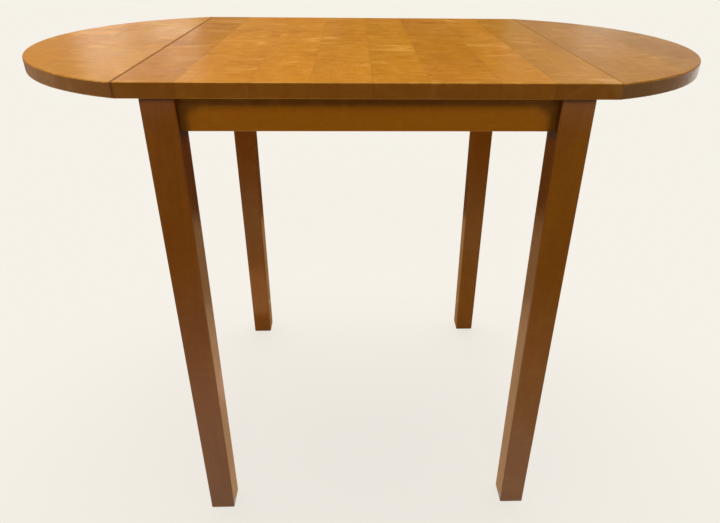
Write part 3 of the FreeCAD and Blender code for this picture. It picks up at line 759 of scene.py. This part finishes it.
zinc_coat, given, filled = new_group(
    "zinc coat",
    [("Vector", "Vector", None)],
    ["Clouds", "Scratches", "Rust"],
)
clouds = cloud(zinc_coat, given["Vector"], ZINC_CYCLES, detail=3.0).outputs[0]
plug(zinc_coat, filled["Clouds"], rise(zinc_coat, clouds, *ZINC_CLOUDS))
turned = node(zinc_coat, "Mapping", {"Vector": given["Vector"], "Rotation": SCRATCH_TURN}).outputs[0]
scratches = cloud(zinc_coat, turned, SCRATCH_CYCLES, detail=1.0).outputs[0]
plug(zinc_coat, filled["Scratches"], rise(zinc_coat, scratches, *SCRATCHES))
spots = cloud(zinc_coat, given["Vector"], RUST_CYCLES, detail=4.0).outputs[0]
plug(zinc_coat, filled["Rust"], rise(zinc_coat, spots, *RUST_SPOTS))
print("zinc coat has", len(zinc_coat.nodes), "nodes")

# %% [markdown]
# The coat differs from piece to piece: hinge flaps are bluish white, bolts are greyer, and wood screws
# are often passivated to a faint yellow. Pins are bare, oiled steel. Rust is not metallic.

# %% Steel finishes
BARE_STEEL = screen_colour(214, 212, 206)
RUST = screen_colour(96, 58, 34)
STEEL_EDGE = 0.0005
STEEL_SCUFFS = 400.0
SCRATCH_SHARE = 0.5
BARE_EDGE_SHARE = 0.6
CLOUD_DULLNESS = -0.1
RUST_DULLNESS = 0.3
STEEL_RELIEF = 0.2
STEEL_RELIEF_DEPTH = 0.00005


def steel_material(name, bright, dull, dullness, rust_share):
    """Zinc on steel, with clouds, scratches, bare edges and spots of rust."""
    material, tree, shader, coordinates = new_material(name)
    place = coordinates["Object"]
    zinc = use_group(tree, zinc_coat, Vector=place)
    wear = use_group(tree, edge_wear, Vector=place, Radius=STEEL_EDGE, Scuff_Size=STEEL_SCUFFS)["Wear"]
    rust = calc(tree, "MULTIPLY", zinc["Rust"], rust_share)
    colour = colour_mix(tree, zinc["Clouds"], screen_colour(*dull), screen_colour(*bright))
    scratched = calc(tree, "MULTIPLY", zinc["Scratches"], SCRATCH_SHARE)
    colour = colour_mix(tree, scratched, colour, BARE_STEEL)
    colour = colour_mix(tree, calc(tree, "MULTIPLY", wear, BARE_EDGE_SHARE), colour, BARE_STEEL)
    plug(tree, shader.inputs["Base Color"], colour_mix(tree, rust, colour, RUST))
    plug(tree, shader.inputs["Metallic"], calc(tree, "SUBTRACT", 1.0, rust))
    gloss = calc(tree, "MULTIPLY_ADD", zinc["Clouds"], CLOUD_DULLNESS, dullness)
    plug(tree, shader.inputs["Roughness"], calc(tree, "MULTIPLY_ADD", rust, RUST_DULLNESS, gloss))
    height = calc(tree, "SUBTRACT", rust, zinc["Scratches"])
    sockets = {"Strength": STEEL_RELIEF, "Distance": STEEL_RELIEF_DEPTH, "Height": height}
    plug(tree, shader.inputs["Normal"], node(tree, "Bump", sockets).outputs[0])
    return material


hinge_zinc = steel_material("hinge zinc", (206, 209, 210), (168, 172, 174), 0.38, 0.5)
bolt_zinc = steel_material("bolt zinc", (186, 188, 187), (148, 150, 150), 0.42, 0.8)
screw_zinc = steel_material("screw zinc", (212, 196, 148), (176, 158, 112), 0.36, 0.6)
pin_steel = steel_material("pin steel", (178, 176, 172), (136, 133, 129), 0.3, 0.9)
flaps = [name for name in nodes if name.endswith("_flap")]
pins = [name for name in nodes if name.endswith("_pin")]
for name in flaps:
    wear_material(name, hinge_zinc)
for name in pins:
    wear_material(name, pin_steel)
wear_material("hanger_washers", bolt_zinc)
print("steel:", len(flaps), "flaps,", len(pins), "pins and the washers")

# %% [markdown]
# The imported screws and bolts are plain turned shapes. Real ones have a thread and a cross recess, so they are
# modelled once at the origin and copied into place. These helpers do what the mouse does by hand:
# select one piece, pick faces, add a rod, and join or cut with a second shape.

# %% Helpers for modelling
FACING = 0.99


def only(piece):
    """Select one piece and nothing else."""
    bpy.ops.object.select_all(action="DESELECT")
    piece.select_set(True)
    bpy.context.view_layer.objects.active = piece


def upper(face):
    """Whether a face looks straight up."""
    return face.normal.z > FACING


def pick(piece, kind, wanted):
    """Go into edit mode with the wanted faces or edges selected."""
    only(piece)
    bpy.ops.object.mode_set(mode="EDIT")
    bpy.ops.mesh.select_mode(type=kind)
    bpy.ops.mesh.select_all(action="DESELECT")
    bpy.ops.object.mode_set(mode="OBJECT")
    for part in piece.data.polygons if kind == "FACE" else piece.data.edges:
        part.select = wanted(part)
    bpy.ops.object.mode_set(mode="EDIT")


def rod(radius, low, high, sides=24):
    """An upright round rod between two heights."""
    bpy.ops.object.select_all(action="DESELECT")
    middle = (0, 0, (low + high) / 2)
    bpy.ops.mesh.primitive_cylinder_add(vertices=sides, radius=radius, depth=high - low, location=middle)
    bpy.ops.object.transform_apply(location=True, rotation=False, scale=False)
    return bpy.context.object


def combine(piece, tool, way):
    """Join a second shape to a piece, cut it away or keep what both share, and remove the second shape."""
    modifier = piece.modifiers.new("combine", "BOOLEAN")
    modifier.operation = way
    modifier.solver = "EXACT"
    modifier.object = tool
    only(piece)
    bpy.ops.object.modifier_apply(modifier=modifier.name)
    bpy.data.objects.remove(tool)


# %% [markdown]
# A thread is a small triangle that climbs round the shank. A circle with three corners is such a triangle:
# it is stood upright beside the shank and stretched to the depth and the pitch of the thread.
# Its inner side is then deleted, so that only the two outer sides are left.

# %% Sides of a thread
TRIANGLE_HEIGHT = 1.5
TRIANGLE_SIDE = math.sqrt(3)
THREAD_LEAD = 1.01


def thread_sides(radius, depth, pitch, low):
    """The two outer sides of a thread's triangle, a little more than one turn below the start."""
    bpy.ops.object.select_all(action="DESELECT")
    bpy.ops.mesh.primitive_circle_add(vertices=3, radius=1)
    sides = bpy.context.object
    outward = depth / TRIANGLE_HEIGHT
    upward = pitch / TRIANGLE_SIDE
    sides.matrix_world = Matrix((
        (0, outward, 0, radius - outward),
        (0, 0, 1, 0),
        (upward, 0, 0, low - THREAD_LEAD * pitch),
        (0, 0, 0, 1),
    ))
    bpy.ops.object.transform_apply()
    corners = sides.data.vertices
    half_way = radius - depth / 2
    pick(sides, "EDGE", lambda edge: all(corners[corner].co.x < half_way for corner in edge.vertices))
    bpy.ops.mesh.delete(type="EDGE")
    bpy.ops.object.mode_set(mode="OBJECT")
    return sides


print("the triangle is", TRIANGLE_HEIGHT, "high and its sides are", round(TRIANGLE_SIDE, 3), "long")

# %% [markdown]
# The Screw modifier sweeps the two sides: each turn lifts them by one pitch, so the turns meet root to root
# and merge into one skin. A bisect at both ends cuts the thread to length and closes it, and a point is the
# end face, drawn out and narrowed.

# %% Threaded rod
THREAD_STEPS = 14
MERGE_DISTANCE = 0.000002
CUT_THRESHOLD = 0.0000001
TIP_SHARE = 0.08


def threaded_rod(radius, depth, pitch, low, high, point=0.0):
    """A rod with a thread between two heights, and a point of some length beyond the upper one."""
    thread = thread_sides(radius, depth, pitch, low)
    sweep = thread.modifiers.new("sweep", "SCREW")
    sweep.axis = "Z"
    sweep.angle = 2 * math.pi
    sweep.screw_offset = pitch
    sweep.iterations = math.ceil((high - low) / pitch) + 2
    sweep.steps = THREAD_STEPS
    sweep.render_steps = THREAD_STEPS
    bpy.ops.object.modifier_apply(modifier=sweep.name)
    bpy.ops.object.mode_set(mode="EDIT")
    bpy.ops.mesh.select_all(action="SELECT")
    bpy.ops.mesh.remove_doubles(threshold=MERGE_DISTANCE)
    cut = {"plane_no": (0, 0, 1), "use_fill": True, "threshold": CUT_THRESHOLD}
    bpy.ops.mesh.bisect(plane_co=(0, 0, low), clear_inner=True, **cut)
    bpy.ops.mesh.select_all(action="SELECT")
    bpy.ops.mesh.bisect(plane_co=(0, 0, high), clear_outer=True, **cut)
    bpy.ops.mesh.select_all(action="SELECT")
    bpy.ops.mesh.normals_make_consistent(inside=False)
    bpy.ops.object.mode_set(mode="OBJECT")
    if point:
        pick(thread, "FACE", lambda face: upper(face) and face.center.z > high - MERGE_DISTANCE)
        bpy.ops.mesh.extrude_region_move(TRANSFORM_OT_translate={"value": (0, 0, point)})
        bpy.ops.transform.resize(value=(TIP_SHARE, TIP_SHARE, 1), center_override=(0, 0, high + point))
        bpy.ops.object.mode_set(mode="OBJECT")
    return thread


trial = threaded_rod(radius=0.003, depth=0.0006, pitch=0.001, low=0.0, high=0.01)
print("a rod of ten turns has", len(trial.data.polygons), "faces")
bpy.data.objects.remove(trial)

# %% [markdown]
# Each packed group of screws is read back solid by solid: a merged copy is separated into loose parts, and
# the longest direction of a part's points is its axis, or the shortest where the part is flat, as a nut is.
# So the modelled screws need no list of places of their own. The head lies nearest to the middle of the
# floor under the table, because every screw is driven outwards or upwards.

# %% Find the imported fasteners
AXIS_REACH = 0.0001


def solids_of(name):
    """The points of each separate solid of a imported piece."""
    copy = nodes[name].copy()
    copy.data = nodes[name].data.copy()
    bpy.context.scene.collection.objects.link(copy)
    only(copy)
    bpy.ops.object.mode_set(mode="EDIT")
    bpy.ops.mesh.select_all(action="SELECT")
    bpy.ops.mesh.remove_doubles(threshold=MERGE_DISTANCE)
    bpy.ops.mesh.separate(type="LOOSE")
    bpy.ops.object.mode_set(mode="OBJECT")
    parts = list(bpy.context.selected_objects)
    points = [np.array([corner.co for corner in part.data.vertices]) for part in parts]
    for part in parts:
        bpy.data.objects.remove(part)
    return points


def measure(points, flat):
    """Where a turned solid starts, which way it points, its length and its least and largest radius."""
    middle = points.mean(axis=0)
    ways = np.linalg.svd(points - middle, full_matrices=False)[2]
    way = ways[-1] if flat else ways[0]
    along = (points - middle) @ way
    start = middle + along.min() * way
    end = middle + along.max() * way
    if np.linalg.norm(start) > np.linalg.norm(end):
        start, end = end, start
    aside = np.linalg.norm(points - middle - np.outer(along, way), axis=1)
    return {
        "start": Vector(start),
        "way": Vector(end - start).normalized(),
        "length": float(np.linalg.norm(end - start)),
        "least": float(aside[aside > AXIS_REACH].min()),
        "largest": float(aside.max()),
    }


def places_of(name, flat=False):
    """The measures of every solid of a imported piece."""
    return [measure(points, flat) for points in solids_of(name)]


print("a button screw is", round(places_of("top_button_screws")[0]["length"], 4), "m long")

# %% [markdown]
# A fastener is modelled along Z, with its head at the origin. Each copy is turned to its own axis and rolled
# by an odd angle, because no two recesses line up on a real table. The copies are joined into one piece,
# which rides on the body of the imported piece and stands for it.

# %% Copies in place
ROLL_STEP = 137.5
SMOOTH_ANGLE = math.radians(35)
UP = Vector((0, 0, 1))


def copy_into_place(template, name, ending, places, material):
    """One piece with a copy of the template at each place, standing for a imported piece."""
    copies = []
    for number, place in enumerate(places):
        copy = template.copy()
        copy.data = template.data.copy()
        bpy.context.scene.collection.objects.link(copy)
        roll = Matrix.Rotation(math.radians(ROLL_STEP * number), 4, "Z")
        turn = UP.rotation_difference(place["way"]).to_matrix().to_4x4()
        copy.matrix_world = Matrix.Translation(place["start"]) @ turn @ roll
        copies.append(copy)
    bpy.data.objects.remove(template)
    only(copies[0])
    for copy in copies:
        copy.select_set(True)
    bpy.context.view_layer.update()
    bpy.ops.object.join()
    bpy.ops.object.transform_apply()
    piece = bpy.context.object
    piece.name = name + ending
    bpy.ops.object.shade_smooth_by_angle(angle=SMOOTH_ANGLE)
    piece.data.materials.clear()
    piece.data.materials.append(material)
    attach(piece, nodes[name]["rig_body"])
    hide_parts(name)
    print(piece.name, "holds", len(places), "copies and", len(piece.data.polygons), "faces")


print("each copy is rolled on by", ROLL_STEP, "degrees")

# %% [markdown]
# The hinges, the buttons and the fly rails are held by flat-head wood screws. The head is a cone that sinks
# flush, with a cross recess. The recess is two tapered bars, cut out at right angles to each other.

# %% Flat-head screws
SHANK_SHARE = 0.5
HEAD_SIDES = 28
RECESS_REACH = 0.5
RECESS_WIDTH = 0.26
RECESS_TAPER = 0.45
FLAT_RECESS = 0.9
WOOD_THREAD_DEPTH = 0.3
WOOD_THREAD_PITCH = 0.7
POINT_LENGTH = 2


def cross_recess(piece, head, depth):
    """Cut a cross recess into the head of a screw that starts at height zero."""
    for quarter in range(2):
        bpy.ops.object.select_all(action="DESELECT")
        bpy.ops.mesh.primitive_cube_add(size=1, location=(0, 0, 0))
        bar = bpy.context.object
        bar.scale = (2 * RECESS_REACH * head, RECESS_WIDTH * head, 2 * depth)
        bar.rotation_euler.z = quarter * math.pi / 2
        bpy.ops.object.transform_apply()
        pick(bar, "FACE", upper)
        bpy.ops.transform.resize(value=(RECESS_TAPER, RECESS_TAPER, 1), center_override=(0, 0, depth))
        bpy.ops.object.mode_set(mode="OBJECT")
        combine(piece, bar, "DIFFERENCE")


def wood_thread(radius, low, length):
    """The pointed wood thread of a screw that ends at some length."""
    point = POINT_LENGTH * radius
    depth = WOOD_THREAD_DEPTH * radius
    return threaded_rod(radius, depth, WOOD_THREAD_PITCH * radius, low, length - point, point)


def flat_screw(size):
    """A wood screw with a countersunk head, at the sizes of a packed one."""
    head = size["largest"]
    shank = SHANK_SHARE * head
    neck = head - shank
    screw = rod(head, 0, neck, HEAD_SIDES)
    pick(screw, "FACE", upper)
    bpy.ops.transform.resize(value=(SHANK_SHARE, SHANK_SHARE, 1), center_override=(0, 0, neck))
    bpy.ops.object.mode_set(mode="OBJECT")
    combine(screw, wood_thread(shank, neck / 2, size["length"]), "UNION")
    cross_recess(screw, head, FLAT_RECESS * neck)
    return screw


FLAT_SCREWS = [
    "top_hinge_screws",
    "left_leaf_hinge_screws",
    "right_leaf_hinge_screws",
    "top_button_screws",
    "fly_rail_screws",
]
for name in FLAT_SCREWS:
    places = places_of(name)
    copy_into_place(flat_screw(places[0]), name, "_threaded", places, screw_zinc)

# %% [markdown]
# The corner blocks are screwed to the aprons with pan-head screws, whose heads stand proud of the wood.
# The head is a short rod with a rounded rim: a bevel on the outer edge does that.

# %% Pan-head screws
PAN_HEAD_HEIGHT = 0.0025
PAN_RECESS = 0.6
RIM_STEPS = 4


def pan_screw(size):
    """A wood screw with a pan head, at the sizes of a packed one."""
    head = size["largest"]
    screw = rod(head, 0, PAN_HEAD_HEIGHT, HEAD_SIDES)
    pick(screw, "FACE", lambda face: face.normal.z < -FACING)
    bpy.ops.mesh.bevel(offset=PAN_HEAD_HEIGHT / 2, segments=RIM_STEPS)
    bpy.ops.object.mode_set(mode="OBJECT")
    combine(screw, wood_thread(SHANK_SHARE * head, PAN_HEAD_HEIGHT / 2, size["length"]), "UNION")
    cross_recess(screw, head, PAN_RECESS * PAN_HEAD_HEIGHT)
    return screw


places = places_of("corner_block_screws")
screw = pan_screw(places[0])
copy_into_place(screw, "corner_block_screws", "_threaded", places, screw_zinc)

# %% [markdown]
# A hanger bolt is two screws in one: a machine thread for the nut at one end and a coarse wood thread at the
# other, which bites into the leg. It pulls the leg into the corner of the aprons. The nut is a six-sided rod
# whose corners are turned off: it keeps only what it shares with a rod with bevelled rims.

# %% Hanger bolts and nuts
MACHINE_SHARE = 0.52
MACHINE_DEPTH = 0.2
TURNS_PER_RADIUS = 3
PLAIN_SHARE = 0.88
NUT_RIM = 0.0009
NUT_LIP = 0.0002
RIM_SIDES = 48


def hanger_bolt(size):
    """A rod with a machine thread, a plain middle and a pointed wood thread."""
    radius = size["largest"]
    middle = MACHINE_SHARE * size["length"]
    bolt = rod(PLAIN_SHARE * radius, middle - radius, middle + radius)
    machine = threaded_rod(radius, MACHINE_DEPTH * radius, radius / TURNS_PER_RADIUS, 0, middle)
    combine(bolt, machine, "UNION")
    combine(bolt, wood_thread(radius, middle + radius / 2, size["length"]), "UNION")
    return bolt


def hanger_nut(size):
    """A six-sided nut with a bore, at the sizes of a packed one."""
    height = size["length"]
    nut = rod(size["largest"], 0, height, sides=6)
    rims = rod(size["largest"], -NUT_LIP, height + NUT_LIP, RIM_SIDES)
    pick(rims, "FACE", lambda face: abs(face.normal.z) > FACING)
    bpy.ops.mesh.bevel(offset=NUT_RIM, segments=1)
    bpy.ops.object.mode_set(mode="OBJECT")
    combine(nut, rims, "INTERSECT")
    combine(nut, rod(size["least"], -height, 2 * height), "DIFFERENCE")
    return nut


places = places_of("hanger_bolts")
copy_into_place(hanger_bolt(places[0]), "hanger_bolts", "_threaded", places, bolt_zinc)
places = places_of("hanger_nuts", flat=True)
copy_into_place(hanger_nut(places[0]), "hanger_nuts", "_chamfered", places, bolt_zinc)

# %% [markdown]
# The floor is plain and pale, and it runs past the picture on every side.
# To the camera and in reflections it shows the pale background colour, with the table's soft shadow in it.
# To light that bounces it is darker, as a room floor is, so that the legs and aprons keep their deep tone.

# %% Floor and surroundings
BACKGROUND = screen_colour(244, 240, 231)
ROOM_LIGHT = (1.0, 0.97, 0.93, 1.0)
ROOM_LEVEL = 0.11
FLOOR_BOUNCE = (0.4, 0.35, 0.3, 1.0)
SHADOW_SHARE = 0.16
FLOOR_SIZE = 60.0


def empty_tree(owner):
    """The node tree of a world or a material, with nothing in it."""
    owner.use_nodes = True
    owner.node_tree.nodes.clear()
    return owner.node_tree


def seen_directly(tree):
    """One for rays from the camera, from gloss and through glass, and zero for bounced light."""
    rays = node(tree, "LightPath").outputs
    seen = calc(tree, "MAXIMUM", rays["Is Camera Ray"], rays["Is Glossy Ray"])
    return calc(tree, "MAXIMUM", seen, rays["Is Transmission Ray"])


world = bpy.data.worlds.new("room")
bpy.context.scene.world = world
tree = empty_tree(world)
room = node(tree, "Background", {"Color": ROOM_LIGHT, "Strength": ROOM_LEVEL}).outputs[0]
backdrop = node(tree, "Background", {"Color": BACKGROUND, "Strength": 1.0}).outputs[0]
shown = node(tree, "MixShader", {0: seen_directly(tree), 1: room, 2: backdrop})
node(tree, "OutputWorld", {"Surface": shown.outputs[0]})

bpy.ops.mesh.primitive_plane_add(size=FLOOR_SIZE)
floor = bpy.context.object
floor.name = "floor"
floor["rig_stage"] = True
floor_paint = bpy.data.materials.new("pale floor")
tree = empty_tree(floor_paint)
bounced = node(tree, "BsdfDiffuse", {"Color": FLOOR_BOUNCE}).outputs[0]
lit = node(tree, "BsdfDiffuse", {"Color": BACKGROUND}).outputs[0]
glow = node(tree, "Emission", {"Color": BACKGROUND, "Strength": 1.0}).outputs[0]
pale = node(tree, "MixShader", {0: 1 - SHADOW_SHARE, 1: lit, 2: glow}).outputs[0]
shown = node(tree, "MixShader", {0: seen_directly(tree), 1: bounced, 2: pale})
node(tree, "OutputMaterial", {"Surface": shown.outputs[0]})
floor.data.materials.append(floor_paint)
print("floor", FLOOR_SIZE, "m wide")

# %% [markdown]
# Most light comes from above and a little from behind, as from a ceiling of soft lamps, so the top is bright
# and the upright faces are dim. A weak, narrow light from the front draws the shadow under the top's edge.
# A sun lamp gives the same light everywhere, and its width sets how soft the shadows are.

# %% Lamps
LAMPS = [
    ("overhead light", 3.1, 70, -20),
    ("front light", 0.3, 7, 55),
]


def sun(name, level, width, tilt):
    """A sun lamp that shines down, tilted about X: a negative tilt comes from behind the table."""
    data = bpy.data.lights.new(name, "SUN")
    data.energy = level
    data.angle = math.radians(width)
    lamp = bpy.data.objects.new(name, data)
    lamp.rotation_euler = (math.radians(tilt), 0, 0)
    bpy.context.scene.collection.objects.link(lamp)
    print(name, "at level", level, "tilted", tilt, "degrees")


for name, level, width, tilt in LAMPS:
    sun(name, level, width, tilt)

# %% [markdown]
# A satin lacquer mirrors the room at a low angle, and a pale room all round would wash the honey colour
# out. So a dark screen stands round the table, as a photographer sets up black cards. It is a circle of
# edges, drawn up into a wall, and for the cards that come later only a part of the wall is kept.
# Only reflections see any of these pieces.

# %% Dark screen
SCREEN_RADIUS = 1.5
SCREEN_HEIGHT = 2.4
SCREEN_COLOUR = (0.025, 0.018, 0.012, 1.0)
WALL_SIDES = 180


def reflection_only(piece, name, colour):
    """Make a stage piece that shows in reflections and nowhere else, in one even colour."""
    piece.name = name
    piece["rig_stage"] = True
    piece.visible_camera = False
    piece.visible_diffuse = False
    piece.visible_transmission = False
    piece.visible_volume_scatter = False
    piece.visible_shadow = False
    paint = bpy.data.materials.new(name)
    tree = empty_tree(paint)
    glow = node(tree, "Emission", {"Color": colour, "Strength": 1.0}).outputs[0]
    node(tree, "OutputMaterial", {"Surface": glow})
    piece.data.materials.append(paint)
    print(name, "has", len(piece.data.polygons), "faces")


def circle(sides, radius, middle):
    """A circle of edges, in edit mode with every point selected."""
    bpy.ops.mesh.primitive_circle_add(vertices=sides, radius=radius, location=middle)
    bpy.ops.object.mode_set(mode="EDIT")
    bpy.ops.mesh.select_mode(type="VERT")
    bpy.ops.mesh.select_all(action="SELECT")
    return bpy.context.object


def curved_panel(name, first, last, radius, low, high, colour):
    """A piece of an upright cylinder round the table, between two bearings from straight behind."""
    piece = circle(WALL_SIDES, radius, (0, 0, 0))
    bpy.ops.mesh.extrude_region_move(TRANSFORM_OT_translate={"value": (0, 0, high - low)})
    bpy.ops.mesh.select_all(action="SELECT")
    bpy.ops.transform.translate(value=(0, 0, low))
    bpy.ops.object.mode_set(mode="OBJECT")

    def outside(face):
        bearing = math.degrees(math.atan2(face.center.x, face.center.y))
        return not first <= bearing <= last

    pick(piece, "FACE", outside)
    bpy.ops.mesh.delete(type="FACE")
    bpy.ops.object.mode_set(mode="OBJECT")
    reflection_only(piece, name, colour)


curved_panel("dark screen", -180, 180, SCREEN_RADIUS, 0, SCREEN_HEIGHT, SCREEN_COLOUR)

# %% [markdown]
# A dim ceiling closes the screen, and a bright card under its left part lights the front edge of the top.
# Discs make the floor warm between the legs and darker behind them, and three small ones tune what the
# rear legs mirror. Rings that grow darker outwards do the same for the fronts of the legs.

# %% Ceiling and floor for reflections
CARD_GAP = 0.02
CEILING_COLOUR = (0.16, 0.14, 0.12, 1.0)
CARD_SIZE = (1.1, 1.5)
CARD_MIDDLE = (-0.75, -0.55, SCREEN_HEIGHT - CARD_GAP)
CARD_COLOUR = (4.0, 3.6, 3.0, 1.0)
RING_SIDES = 96
DISC_HOLE = 0.01
REAR_FLOOR = (0.45, 0.28, 0.13, 1.0)
FLOOR_DISCS = [
    ("warm floor", 0.4, (0.0, 0.05, 0.003), (0.9, 0.57, 0.3, 1.0)),
    ("rear floor", 0.3, (0.0, 0.66, 0.004), REAR_FLOOR),
    ("rear left floor", 0.12, (-0.3, 0.06, 0.004), (2.2, 1.35, 0.95, 1.0)),
    ("left foot floor", 0.13, (-0.22, 0.38, 0.005), REAR_FLOOR),
    ("right foot floor", 0.13, (0.22, 0.38, 0.005), REAR_FLOOR),
]
RING_MIDDLE = (-0.12, -0.25, 0.002)
RING_WARMTH = (1.0, 0.9, 0.8)
FLOOR_RINGS = [
    ("near floor", 0.36, 0.5, 0.85),
    ("mid floor", 0.5, 0.7, 0.5),
    ("far floor", 0.7, 0.95, 0.24),
    ("dark floor", 0.95, 2.0, 0.02),
]


def flat_ring(name, inner, outer, middle, colour):
    """A flat ring round some middle."""
    piece = circle(RING_SIDES, inner, middle)
    bpy.ops.mesh.extrude_region_move()
    bpy.ops.transform.resize(value=(outer / inner, outer / inner, 1))
    bpy.ops.object.mode_set(mode="OBJECT")
    reflection_only(piece, name, colour)


def flat_card(name, size, middle, colour):
    """A flat card that hangs over the table."""
    bpy.ops.mesh.primitive_plane_add(size=1, location=middle)
    piece = bpy.context.object
    bpy.ops.object.mode_set(mode="EDIT")
    bpy.ops.mesh.select_all(action="SELECT")
    bpy.ops.transform.resize(value=(*size, 1))
    bpy.ops.object.mode_set(mode="OBJECT")
    reflection_only(piece, name, colour)


def dimmed(level, warmth):
    """A warm white at some level."""
    return (*(level * share for share in warmth), 1.0)


flat_ring("dim ceiling", DISC_HOLE, SCREEN_RADIUS, (0, 0, SCREEN_HEIGHT), CEILING_COLOUR)
flat_card("left ceiling card", CARD_SIZE, CARD_MIDDLE, CARD_COLOUR)
for name, radius, middle, colour in FLOOR_DISCS:
    flat_ring(name, DISC_HOLE, radius, middle, colour)
for name, inner, outer, level in FLOOR_RINGS:
    flat_ring(name, inner, outer, RING_MIDDLE, dimmed(level, RING_WARMTH))

# %% [markdown]
# Paler cards stand just inside the screen and leave a soft sheen on the top and the leaves.
# Each is given by its bearings from straight behind, its heights and its level.

# %% Upright cards
PANEL_RADIUS = SCREEN_RADIUS - CARD_GAP
PANEL_WARMTH = (1.0, 0.95, 0.9)
PANELS = [
    ("left side card", -115, -62, 0.1, 1.0, 0.4),
    ("far left card", -62, -40, 0.3, 1.1, 0.28),
    ("left bright card", -40, -34.5, 0.3, 1.05, 1.4),
    ("left mid card", -34.5, -30, 0.3, 1.05, 0.85),
    ("left inner card", -30, -25, 0.3, 1.05, 1.2),
    ("left rear card", -25, -12, 0.3, 1.1, 0.16),
    ("rear card", -12, -3, 0.3, 1.1, 0.07),
    ("right rear card", 23, 28, 0.3, 1.2, 0.25),
    ("right mid card", 28, 32.5, 0.3, 1.2, 0.32),
    ("right bright card", 32.5, 38.5, 0.3, 1.2, 0.64),
    ("far right card", 38.5, 60, 0.72, 1.2, 0.46),
    ("right low card", 42, 74, 0.2, 0.7, 1.4),
    ("right side card", 74, 115, 0.1, 1.0, 0.45),
    ("front left card", -158, -130, 0.44, 1.0, 0.75),
    ("front right card", 130, 158, 0.44, 1.0, 0.75),
]
for name, first, last, low, high, level in PANELS:
    curved_panel(name, first, last, PANEL_RADIUS, low, high, dimmed(level, PANEL_WARMTH))

# %% [markdown]
# The last cell prints the size of the finished table.

# %% Size of the finished table
low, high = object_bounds()
print("finished size", [round(side, 4) for side in high - low])
